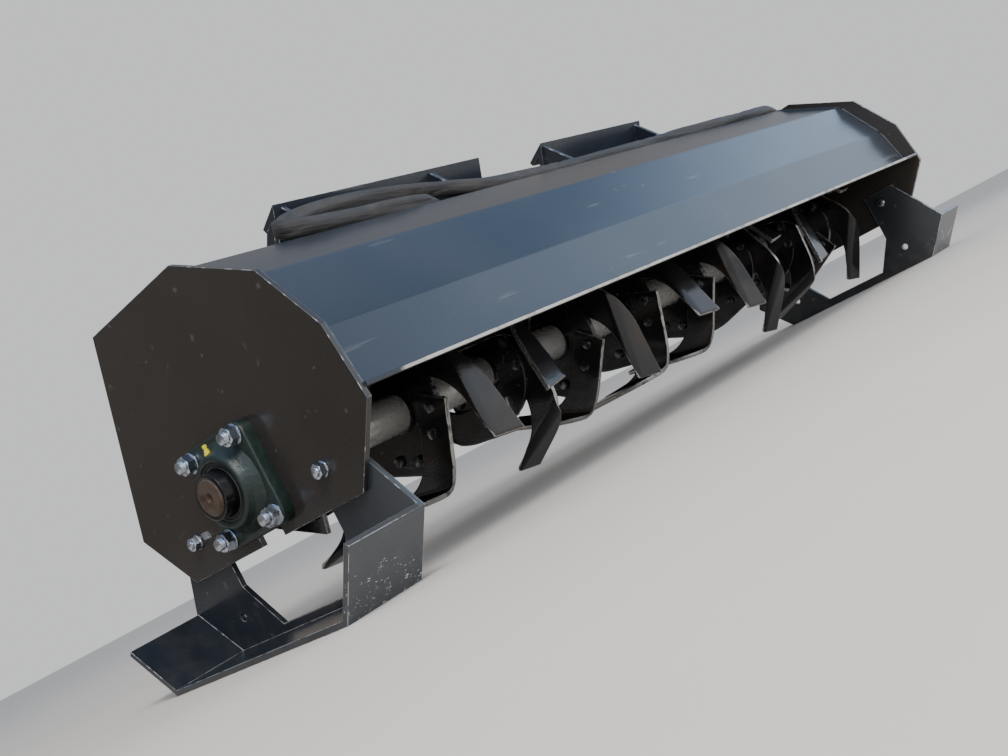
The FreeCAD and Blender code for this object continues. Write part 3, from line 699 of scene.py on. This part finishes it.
shaft = [(right_low.x, 0.0), (right_low.x, tube_bore), (tube_end, tube_bore), (tube_end, shaft_radius),
         (right_high.x, shaft_radius), (right_high.x, 0.0)]
made_piece("stub_shaft_right_turned", [turned(shaft, axis_y, axis_z, 64)], [shaft_rust], body="rotor",
           replaced=["stub_shaft_right"])

# Discs: nine flame-cut steel rings, welded to the tube on both faces and dipped in gloss black together
# with the tines.
rotor_black = Finish("rotor_black")
runs = rotor_black.noise(14.0, 3.0)
chips = rotor_black.noise(95.0, 5.0).rise(0.66, 0.70)
rotor_black.close(
    Base_Color=rotor_black.blend(chips * 0.6, (0.010, 0.010, 0.011), (0.20, 0.17, 0.14)),
    Roughness=runs * 0.14 + chips * 0.3 + 0.07,
    Metallic=chips * 0.4,
    Normal=rotor_black.bump(runs * 1.6 + rotor_black.noise(300.0, 1.0) * 0.12, 0.0006),
)


def ring_bead(x, radius, size=0.0042, turns=132, ripples=66):
    """A weld round a shaft: a torus of eight-sided section, swelling with a sine of the angle."""
    around = np.linspace(0, 2 * np.pi, turns, endpoint=False)[:, None]
    section = np.linspace(0, 2 * np.pi, 8, endpoint=False)[None, :]
    swell = size * (1 + 0.14 * np.sin(ripples * around) + 0.08 * np.sin(3 * around + radius * 90))
    r = radius + swell * np.cos(section)
    grid = np.stack([x + swell * np.sin(section), axis_y + r * np.cos(around), axis_z + r * np.sin(around)],
                    -1)
    return grid.reshape(-1, 3), grid_faces(turns, 8, closed_rows=True, closed_columns=True)


disc_count = 9
for number in range(1, disc_count + 1):
    low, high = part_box(f"tine_flange_{number}")
    r = (high.z - low.z) / 2
    disc = [(low.x, tube_radius), (low.x, r - 0.0012), (low.x + 0.0012, r), (high.x - 0.0012, r),
            (high.x, r - 0.0012), (high.x, tube_radius), (low.x, tube_radius)]
    surfaces = [turned(disc, axis_y, axis_z, 96), ring_bead(low.x, tube_radius),
                ring_bead(high.x, tube_radius)]
    made_piece(f"tine_flange_{number}_cut", surfaces, [rotor_black], body="rotor",
               replaced=[f"tine_flange_{number}"], sharp=40)

# Tines: 8 mm spring steel strip, bent in its own plane round the rotor, its outer corner then folded
# outwards, four to a disc. Gloss black, worn off along the edges; two oiled bolts hold each to its disc.
tine_width = 0.0563
tine_thickness = 0.008
tine_offset = 0.0752
tine_root = 0.035
tine_straight = 0.0561
tine_bend_radius = 0.1152
tine_bend = math.radians(59.5)
tine_tail = 0.0629
tine_lead = 0.0184
fold_radius = 0.013
fold_turn = math.radians(85.4)
fold_slope = math.radians(-19.4)
fold_base = (-0.0436, 0.1490)
tine_round = 0.0012
tine_bolt = (0.005, 0.006, 0.008, 0.003)
tine_bolt_places = (-0.020, 0.020)
tine_angles = [12.0, 108.0, 176.0, 120.0, 100.0, 112.0, 156.0, 4.0, 144.0]
left_turn = 100.0


def tine_blade():
    """The strip as rows of a rounded-rectangle loop, then folded: past the fold line the distance from it
    becomes an angle on a cylinder, and past that cylinder a straight flap. Depth grows off the disc."""
    half = tine_width / 2
    flat = half - tine_round
    face = np.concatenate([[-flat, -flat + 0.002], np.linspace(0.005 - half, half - 0.005, 21),
                           [flat - 0.002, flat]])
    corner = np.linspace(0, np.pi / 2, 4)[1:-1]
    lift, out = tine_round * np.sin(corner), tine_round * np.cos(corner)
    low = tine_round
    high = tine_thickness - tine_round
    w = np.concatenate([face, flat + out[::-1], [half, half], flat + out, face[::-1], -flat - out[::-1],
                        [-half, -half], -flat - out])
    t = np.concatenate([np.zeros(len(face)), low - lift[::-1], [low, high], high + lift,
                        np.full(len(face), tine_thickness), high + lift[::-1], [high, low], low - lift])
    ends = tine_round * (1 - np.cos(np.linspace(0, np.pi / 2, 3)))
    inset = tine_round - np.sqrt(np.maximum(tine_round**2 - (tine_round - ends) ** 2, 0))
    back = -tine_root - tine_straight
    start = np.concatenate([[0.0], ends])
    runs = np.linspace(tine_round, tine_root + tine_straight, 9)[1:-1]
    arc = np.linspace(0, tine_bend, 15)
    tail = np.linspace(0, 1, 16)[1:-1]
    finish = -start[::-1]
    theta = np.concatenate([np.zeros(len(start) + len(runs)), arc,
                            np.full(len(tail) + len(finish), tine_bend)])
    ahead = np.concatenate([back + start, back + runs, np.zeros(len(arc) + len(tail)), finish])
    share = np.concatenate([np.zeros(len(start) + len(runs) + len(arc)), tail, np.ones(len(finish))])
    ends_in = np.concatenate([[tine_round], inset])
    drawn_in = np.concatenate([ends_in, np.zeros(len(runs) + len(arc) + len(tail)), ends_in[::-1]])
    closed = np.ones(len(theta))
    closed[[0, -1]] = 0.0
    width = w[None] * (half - drawn_in[:, None]) / half
    middle = tine_thickness / 2
    depth = middle + (t[None] - middle) * (closed * (middle - drawn_in) / middle)[:, None]
    length = tine_tail + tine_lead * (width + half) / tine_width
    along = ahead[:, None] + share[:, None] * length
    radius = tine_bend_radius + width
    cos, sin = np.cos(theta)[:, None], np.sin(theta)[:, None]
    p = tine_offset - tine_bend_radius + radius * cos - along * sin
    q = tine_straight + radius * sin + along * cos
    across = np.array([-math.sin(fold_slope), math.cos(fold_slope)])
    d = (p - fold_base[0]) * across[0] + (q - fold_base[1]) * across[1]
    turn = np.clip(d / fold_radius, 0, fold_turn)
    past = np.maximum(d - fold_radius * fold_turn, 0)
    moved = np.where(d > 0, (fold_radius - depth) * np.sin(turn) + past * np.cos(fold_turn) - d, 0)
    x = np.where(d > 0, fold_radius - (fold_radius - depth) * np.cos(turn) + past * np.sin(fold_turn), depth)
    wear = np.clip(1 - (half - np.abs(w))[None] / 0.0030, 0, 1) + np.zeros_like(p)
    wear = np.maximum(wear, (drawn_in > 0)[:, None])
    wear = np.clip(wear + 0.45 * np.clip((share[:, None] - 0.75) * 4, 0, 1), 0, 1)
    return p + moved * across[0], q + moved * across[1], x, wear


def turned_to(p, q, angle):
    """Places in a disc's plane after a turn about the rotor's axis."""
    cos, sin = math.cos(angle), math.sin(angle)
    return axis_y + p * cos - q * sin, axis_z + p * sin + q * cos


tine_black = Finish("tine_black")
wear = tine_black.node("Attribute", {"attribute_name": "wear"}, output=2)
patchy = tine_black.noise(60.0, 5.0)
waves = tine_black.noise(11.0, 2.0)
worn = (wear * 0.62 + patchy * 0.75).rise(0.80, 0.98)
dipped = tine_black.blend(waves.rise(0.5, 0.75) * 0.5, (0.010, 0.010, 0.011), (0.035, 0.022, 0.014))
tine_black.close(
    Base_Color=tine_black.blend(worn, dipped, (0.46, 0.45, 0.43)),
    Roughness=worn * 0.16 + tine_black.noise(25.0, 3.0) * 0.10 + 0.07,
    Metallic=worn * 0.9,
    Normal=tine_black.bump(waves * 2.0 + tine_black.noise(280.0, 1.0) * 0.12, 0.0006),
)
bolt_oiled = Finish("bolt_oiled")
bolt_oiled.close(
    Base_Color=bolt_oiled.blend(bolt_oiled.noise(90.0, 4.0).rise(0.45, 0.65), (0.045, 0.045, 0.048),
                                (0.26, 0.26, 0.27)),
    Roughness=bolt_oiled.noise(200.0, 3.0) * 0.2 + 0.2,
    Metallic=0.85,
)
tine_p, tine_q, tine_x, tine_wear = tine_blade()
for number in range(1, disc_count + 1):
    low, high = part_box(f"tine_flange_{number}")
    blades, bolts = [], []
    for k in range(4):
        face, way, turn = (high.x, 1, 0.0) if k % 2 == 0 else (low.x, -1, left_turn)
        angle = math.radians(tine_angles[number - 1] + k // 2 * 180 + turn)
        y, z = turned_to(tine_p, tine_q, angle)
        grid = np.stack([face + way * tine_x, y, z], -1)
        blades.append((grid.reshape(-1, 3), grid_faces(*tine_p.shape, closed_columns=True)))
        grip = (low.x, high.x + tine_thickness) if way > 0 else (low.x - tine_thickness, high.x)
        for q in tine_bolt_places:
            y, z = turned_to(tine_offset, q, angle)
            bolts += bolt(*grip, y, z, *tine_bolt, angle + q * 60)
    made_piece(f"tines_{number}_bent", blades, [tine_black], body="rotor",
               replaced=[f"tines_{number}"], sharp=60, shades=np.tile(tine_wear.ravel(), 4))
    made_piece(f"tine_bolts_disc_{number}", bolts, [bolt_oiled], body="rotor",
               replaced=["tine_bolts"] if number == 1 else [])

# Hydraulic motor on the right plate: cast flange, body and end cap in black, on four studs like the
# bearing's. Two port bosses on top carry steel fittings with a hose crimped to each.
motor_black = Finish("motor_black")
motor_sand = motor_black.noise(500.0, 4.0)
motor_black.close(
    Base_Color=motor_black.blend(motor_black.noise(20.0, 4.0).rise(0.5, 0.8) * 0.4, (0.012, 0.012, 0.013),
                                 (0.07, 0.06, 0.05)),
    Roughness=motor_sand * 0.2 + 0.28,
    Normal=motor_black.bump(motor_sand, 0.0006),
)
pilot = 0.0255
motor_stud_y = 0.056
low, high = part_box("motor_flange")
flange_end = high.x
half_side = (high.y - low.y) / 2
made_piece("motor_flange_cast", [flange_plate(plate_outside, flange_end, half_side, flange_corner, pilot)],
           [motor_black], replaced=["motor_flange"], sharp=50)
body_low, body_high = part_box("motor_body")
cap_low, cap_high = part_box("motor_cap")
start = body_low.x
end = body_high.x
body = [(start, 0.0), (start, 0.0585), (start + 0.0015, 0.060), (start + 0.016, 0.060),
        (start + 0.018, 0.0575), (start + 0.021, 0.0575), (start + 0.023, 0.060), (end - 0.019, 0.060),
        (end - 0.017, 0.0575), (end - 0.0145, 0.0575), (end - 0.0125, 0.060), (end - 0.0015, 0.060),
        (end, 0.0585), (end, 0.0)]
port_x = plate_outside + 0.038
port_spread = 0.024
port_low = 0.030
port_top = 0.084
port_radius = 0.014
surfaces = [turned(body, axis_y, axis_z, 72)]
boss = [(port_low, 0.0), (port_low, 0.0175), (0.060, 0.0165), (0.066, 0.0142),
        (port_top - 0.001, port_radius), (port_top, port_radius - 0.001), (port_top, 0.0)]
for y in (-port_spread, port_spread):
    surfaces.append(aimed(turned(boss, 0.0, 0.0, 36), (port_x, axis_y + y, axis_z), (0, 0, 1)))
made_piece("motor_body_cast", surfaces, [motor_black], replaced=["motor_body"])
start = cap_low.x
end = cap_high.x
cap = [(start, 0.0), (start, 0.052), (end - 0.004, 0.052), (end - 0.001, 0.0505), (end, 0.048), (end, 0.026),
       (end - 0.002, 0.024), (end - 0.002, 0.0)]
heads = []
for k in range(6):
    y, z = turned_to(0.039, 0.0, math.radians(60 * k + 20))
    heads.append(hexagon(end - 0.0005, end + 0.006, y, z, 0.013, k))
made_piece("motor_cap_cast", [turned(cap, axis_y, axis_z, 72)], [motor_black],
           replaced=["motor_cap"])
made_piece("motor_cap_bolts", heads, [zinc])
studs = []
for k, (way_y, way_z) in enumerate(four_corners):
    studs += bolt(plate_inside, flange_end, axis_y + way_y * motor_stud_y, axis_z + way_z * motor_stud_y,
                  *stud_bolt, 0.5 * k)
made_piece("motor_bolts_made", studs, [zinc], replaced=["motor_bolts"])
fittings = []
for y in (-port_spread, port_spread):
    foot = (port_x, axis_y + y, axis_z + port_top)
    fittings.append(aimed(hexagon(0.0, 0.010, 0.0, 0.0, 0.019, 0.2 + 9 * y), foot, (0, 0, 1)))
    collar = [(0.0095, 0.0), (0.0095, 0.0085), (0.0125, 0.0085), (0.013, 0.0098), (0.0155, 0.0104),
              (0.018, 0.0098), (0.0185, 0.0104), (0.021, 0.0104), (0.024, 0.0092), (0.024, 0.0)]
    fittings.append(aimed(turned(collar, 0.0, 0.0, 32), foot, (0, 0, 1)))
made_piece("port_fittings_made", fittings, [zinc], replaced=["port_fittings"])

# Hoses: two rubber hoses rise from the fittings and share one woven sleeve, which lies along the hood's
# top, turns back behind the cut-out and ends in two couplers. The sleeve is 2.27 m long.
route = [
    (0.0785, 0.006, 0.160), (0.0905, 0.004, 0.238), (0.0365, 0.000, 0.302), (-0.0715, -0.008, 0.2985),
    (-0.2695, -0.010, 0.2978), (-0.5095, 0.008, 0.2982), (-0.7695, 0.016, 0.298), (-0.9795, 0.017, 0.2978),
    (-1.1155, 0.012, 0.302), (-1.2195, 0.040, 0.330), (-1.3295, 0.060, 0.347), (-1.4345, 0.060, 0.350),
    (-1.5195, 0.052, 0.341), (-1.5795, 0.030, 0.325), (-1.6015, -0.006, 0.308), (-1.5695, -0.026, 0.2985),
    (-1.4895, -0.018, 0.2976), (-1.3795, -0.012, 0.2978), (-1.3045, -0.006, 0.2976), (-1.2475, 0.028, 0.2977),
    (-1.1915, 0.076, 0.2978),
]
route = [(x + plate_outside, y + axis_y, z + axis_z) for x, y, z in route]
sleeve_radius = 0.015


def spline_points(points, fineness=12):
    """Points along the smooth curve that has the given points as its control points."""
    curve = bpy.data.curves.new("route", "CURVE")
    curve.dimensions = "3D"
    curve.resolution_u = fineness
    spline = curve.splines.new("NURBS")
    spline.points.add(len(points) - 1)
    spline.points.foreach_set("co", np.array([(*point, 1.0) for point in points]).ravel())
    spline.order_u = 3
    spline.use_endpoint_u = True
    holder = bpy.data.objects.new("route", curve)
    mesh = bpy.data.meshes.new_from_object(holder)
    found = np.empty(len(mesh.vertices) * 3)
    mesh.vertices.foreach_get("co", found)
    bpy.data.objects.remove(holder)
    bpy.data.curves.remove(curve)
    bpy.data.meshes.remove(mesh)
    return found.reshape(-1, 3)


def carried(path):
    """Unit frames along a path: its way, a side that never twists, and their cross; and its length so far."""
    ways = np.gradient(path, axis=0)
    ways /= np.linalg.norm(ways, axis=1)[:, None]
    side = np.cross(ways[0], (0.1, 0.2, 1.0))
    sides = []
    for way in ways:
        side = side - way * (side @ way)
        side = side / np.linalg.norm(side)
        sides.append(side)
    sides = np.array(sides)
    steps = np.linalg.norm(np.diff(path, axis=0), axis=1)
    return ways, sides, np.cross(ways, sides), np.concatenate([[0.0], np.cumsum(steps)])


def tube_along(path, radius, turns=24):
    """A round tube: a circle in each frame of the path, closed by a point at each end."""
    ways, sides, ups, s = carried(path)
    angles = np.linspace(0, 2 * np.pi, turns, endpoint=False)
    ring = np.cos(angles)[None, :, None] * sides[:, None] + np.sin(angles)[None, :, None] * ups[:, None]
    grid = path[:, None] + ring * radius
    grid = np.concatenate([np.repeat(path[None, :1], turns, 1), grid, np.repeat(path[None, -1:], turns, 1)])
    return grid.reshape(-1, 3), grid_faces(len(grid), turns, closed_columns=True)


hose_rubber = Finish("hose_rubber")
hose_rubber.close(Base_Color=(0.014, 0.014, 0.015, 1), Roughness=0.46,
                  Normal=hose_rubber.bump(hose_rubber.noise(900.0, 2.0), 0.0003))
mouth = route[0]
stubs = []
for side in (-1, 1):
    path = spline_points([
        (port_x, axis_y + side * port_spread, axis_z + port_top + 0.0235),
        (port_x + 0.001, axis_y + side * port_spread, axis_z + port_top + 0.038),
        (port_x + 0.016, axis_y + side * 0.020, axis_z + port_top + 0.050),
        (mouth[0] - 0.002, mouth[1] + side * 0.0076, mouth[2] - 0.014),
        (mouth[0] + 0.001, mouth[1] + side * 0.0072, mouth[2] + 0.012),
    ])
    stubs.append(tube_along(path, 0.007))
made_piece("hose_stubs_made", stubs, [hose_rubber], replaced=["hose_stubs"], sharp=50)

sleeve_weave = Finish("sleeve_weave")
around = sleeve_weave.node("UVMap", {"uv_map": "UVMap"})
u = sleeve_weave.node("SeparateXYZ", {}, {"Vector": around}, "X")
v = sleeve_weave.node("SeparateXYZ", {}, {"Vector": around}, "Y")
threads_round = 60.0
threads_metre = 620.0
warp = (u * (2 * math.pi * threads_round)).sine()
weft = (v * (2 * math.pi * threads_metre)).sine()
cloth = warp * weft
long_folds = sleeve_weave.node("CombineXYZ", {}, {"X": (u * (2 * math.pi)).sine() * 0.9, "Y": v * 5.0,
                                                 "Z": (u * (2 * math.pi) + math.pi / 2).sine() * 0.9})
wrinkles = sleeve_weave.node("TexNoise", {}, {"Vector": long_folds, "Scale": 4.2, "Detail": 3.0})
fade = sleeve_weave.noise(9.0, 4.0).rise(0.35, 0.75)
grime = sleeve_weave.noise(34.0, 5.0).rise(0.45, 0.72)
yarn = sleeve_weave.blend(fade, (0.022, 0.020, 0.019), (0.040, 0.035, 0.032))
sleeve_weave.close(
    Base_Color=sleeve_weave.blend(grime * 0.3, yarn, (0.075, 0.065, 0.055)),
    Roughness=fade * 0.12 + 0.50,
    Normal=sleeve_weave.bump(cloth * 0.10 + wrinkles, 0.0022),
)
line = spline_points(route, fineness=40)
line = line[carried(line)[3] < carried(line)[3][-1] - 0.018]
ways, sides, ups, s = carried(line)
turns = 56
a = np.linspace(0, 2 * np.pi, turns, endpoint=False)[None]
t = s[:, None]
folds = 1.2 * np.sin(3 * a + 9 * np.sin(t * 2.3) + 7 * t) * np.sin(11 * t + 1.0) ** 2
folds += 0.6 * np.sin(5 * a - 12 * t + 5 * np.sin(t * 4.1)) * np.sin(6.3 * t + 0.4) ** 2
creases = np.abs(np.sin(2 * a + 31 * t + 3 * np.sin(17 * t))) ** 6 * np.sin(8.7 * t + 2.0) ** 2
shape = sleeve_radius - 0.0003 + 0.0011 * folds - 0.0012 * creases
flare_length = 0.085
flare = np.clip((t - s[-1] + flare_length) / flare_length, 0, 1)
flare = flare * flare * (3 - 2 * flare)
level = np.array([0.0, 0.0, 1.0])
flat_side = np.cross(ways, level)
flat_side /= np.maximum(np.linalg.norm(flat_side, axis=1), 1e-6)[:, None]
ring = np.cos(a)[..., None] * sides[:, None] + np.sin(a)[..., None] * ups[:, None]
sideways = (ring * flat_side[:, None]).sum(-1)
shape = shape * (1 + flare * 0.38 * np.abs(sideways) ** 1.4)
grid = line[:, None] + ring * shape[..., None]


def hem(end, way):
    """The sleeve's mouth: the cloth rolled in by nearly 2 mm and closed 9 mm inside."""
    rows = []
    for scale, back in ((0.96, -0.0010), (0.90, 0.0), (0.88, 0.009), (0.0, 0.009)):
        rows.append(line[end] + ring[end] * (shape[end] * scale)[:, None] + ways[end] * way * back)
    return np.array(rows)


grid = np.concatenate([hem(0, 1.0)[::-1], grid, hem(-1, -1.0)])
lengths = np.concatenate([np.full(4, s[0]), s, np.full(4, s[-1])])
points = grid.reshape(-1, 3)
faces = grid_faces(len(grid), turns, closed_columns=True)
mesh = bpy.data.meshes.new("hose_sleeve_woven")
mesh.from_pydata(points.tolist(), [], faces.tolist())
corner_column = faces % turns
corner_row = faces // turns
past_seam = (corner_column == 0) & (corner_column.max(1, keepdims=True) == turns - 1)
wrapped = np.where(past_seam, turns, corner_column)
layer = mesh.uv_layers.new(name="UVMap")
layer.data.foreach_set("uv", np.stack([wrapped / turns, lengths[corner_row]], -1).ravel())
work = bmesh.new()
work.from_mesh(mesh)
bmesh.ops.remove_doubles(work, verts=work.verts, dist=2e-6)
bmesh.ops.recalc_face_normals(work, faces=work.faces)
work.to_mesh(mesh)
work.free()
mesh.shade_smooth()
sleeve = bpy.data.objects.new("hose_sleeve_woven", mesh)
bpy.context.scene.collection.objects.link(sleeve)
place_piece(sleeve, [sleeve_weave], "frame", ["hose_sleeve"])

end = np.array(route[-1])
end_way = end - np.array(route[-2])
end_way /= np.linalg.norm(end_way)
coupler_side = np.cross(end_way, level)
coupler_spread = 0.014
groove_pitch = 0.0026
coupler = [(-0.004, 0.0), (-0.004, 0.0090), (0.001, 0.0100), (0.0075, 0.0108), (0.0085, 0.0122),
           (0.010, 0.0130)]
for k in range(9):
    coupler += [(0.0115 + k * groove_pitch, 0.0130), (0.0124 + k * groove_pitch, 0.0125),
                (0.0132 + k * groove_pitch, 0.0130)]
coupler += [(0.0375, 0.0128), (0.0385, 0.0118), (0.0478, 0.0118), (0.0485, 0.0128), (0.0590, 0.0130),
            (0.0600, 0.0122), (0.0600, 0.0085), (0.0530, 0.0078), (0.0530, 0.0)]
hoses = []
for side in (-1, 1):
    bows = ((-0.032, 0.009), (-0.020, 0.0095), (-0.010, 0.0135), (0.000, coupler_spread),
            (0.006, coupler_spread))
    path = [end + end_way * x + coupler_side * side * y for x, y in bows]
    hoses.append(tube_along(spline_points(path), 0.0075))
hoses = made_piece("hose_ends", hoses, [hose_rubber], sharp=50)
couplers = [aimed(turned(coupler, 0.0, 0.0, 40), end + coupler_side * side * coupler_spread, end_way)
            for side in (-1, 1)]
couplers = made_piece("hose_couplers_made", couplers, [zinc], replaced=["hose_couplers"],
                      sharp=30)

# Studio: a pale floor and three soft lamps in a plain pale surround. Only the paint's mirror image sees
# the surround's colours, cool in front and dim behind.
floor = bpy.data.objects.new("floor", bpy.data.meshes.new("floor"))
floor.data.from_pydata([(-30, -30, 0), (30, -30, 0), (30, 30, 0), (-30, 30, 0)], [], [(0, 1, 2, 3)])
bpy.context.scene.collection.objects.link(floor)
floor_grey = Finish("floor_grey")
floor_grey.close(
    Base_Color=floor_grey.blend(floor_grey.noise(3.0, 6.0), (0.60, 0.58, 0.555), (0.66, 0.64, 0.615)),
    Roughness=0.85,
)
floor.data.materials.append(floor_grey.owner)
floor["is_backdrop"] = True

surround = Finish("surround", bpy.data.worlds, "Generated")
bpy.context.scene.world = surround.owner
front_colours = [(0.0, (0.40, 0.40, 0.39)), (0.10, (0.48, 0.53, 0.60)), (0.39, (0.46, 0.60, 0.80)),
                 (0.56, (0.13, 0.20, 0.32)), (0.78, (0.16, 0.23, 0.36)), (1.0, (0.18, 0.26, 0.40))]
rear_colours = [(0.0, (0.060, 0.052, 0.045)), (0.12, (0.090, 0.080, 0.070)), (0.30, (0.100, 0.092, 0.085)),
                (0.60, (0.085, 0.090, 0.100)), (1.0, (0.18, 0.26, 0.40))]
mirror_strength = 3.0
diffuse_colour = (0.60, 0.59, 0.58)
seen_colour = (0.78, 0.79, 0.80)
height = surround.axis("Z")
in_front = surround.node("ValToRGB", {"stops": front_colours}, {0: height})
behind = surround.node("ValToRGB", {"stops": rear_colours}, {0: height})
around = surround.blend(surround.axis("Y").rise(-0.2, 0.42), in_front, behind)
light = surround.node("Background", {}, {"Color": around, "Strength": mirror_strength})
for ray, colour in (("Is Diffuse Ray", diffuse_colour), ("Is Camera Ray", seen_colour)):
    plain = surround.node("Background", {}, {"Color": (*colour, 1)})
    light = surround.node("MixShader", {}, {0: surround.node("LightPath", output=ray), 1: light, 2: plain})
surround.node("OutputWorld", {}, {"Surface": light})


def soft_lamp(name, place, target, width, height, watts, colour, mirrored=True):
    """A soft box that faces a target; one that isn't mirrored leaves no image of itself in the paint."""
    lamp = bpy.data.lights.new(name, "AREA")
    lamp.shape = "RECTANGLE"
    lamp.size = width
    lamp.size_y = height
    lamp.energy = watts
    lamp.color = colour
    holder = bpy.data.objects.new(name, lamp)
    holder.location = place
    holder.rotation_euler = (Vector(target) - Vector(place)).to_track_quat("-Z", "Y").to_euler()
    holder.visible_glossy = mirrored
    bpy.context.scene.collection.objects.link(holder)


soft_lamp("key", (-2.2, -2.6, 3.0), (0.0, 0.0, 0.2), 1.6, 1.4, 140, (1.0, 0.95, 0.88))
soft_lamp("fill", (3.0, -2.6, 1.3), (0.2, 0.0, 0.2), 3.0, 1.8, 60, (0.90, 0.94, 1.0), mirrored=False)
soft_lamp("low", (0.0, -2.4, 0.5), (0.0, 0.0, 0.2), 3.4, 0.5, 26, (1.0, 0.96, 0.90), mirrored=False)

camera = bpy.data.cameras.new("camera")
camera.lens = 41.5
camera.sensor_width = 36
holder = bpy.data.objects.new("camera", camera)
right = (0.60121981, -0.64871236, -0.46659083)
up = (0.28413573, -0.37219639, 0.88359308)
back = (-0.74686118, -0.66380879, -0.03944949)
holder.matrix_world = Matrix((right, up, back)).transposed().to_4x4()
holder.location = (-1.8002, -1.2824, 0.1098)
bpy.context.scene.collection.objects.link(holder)
bpy.context.scene.camera = holder

low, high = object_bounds()
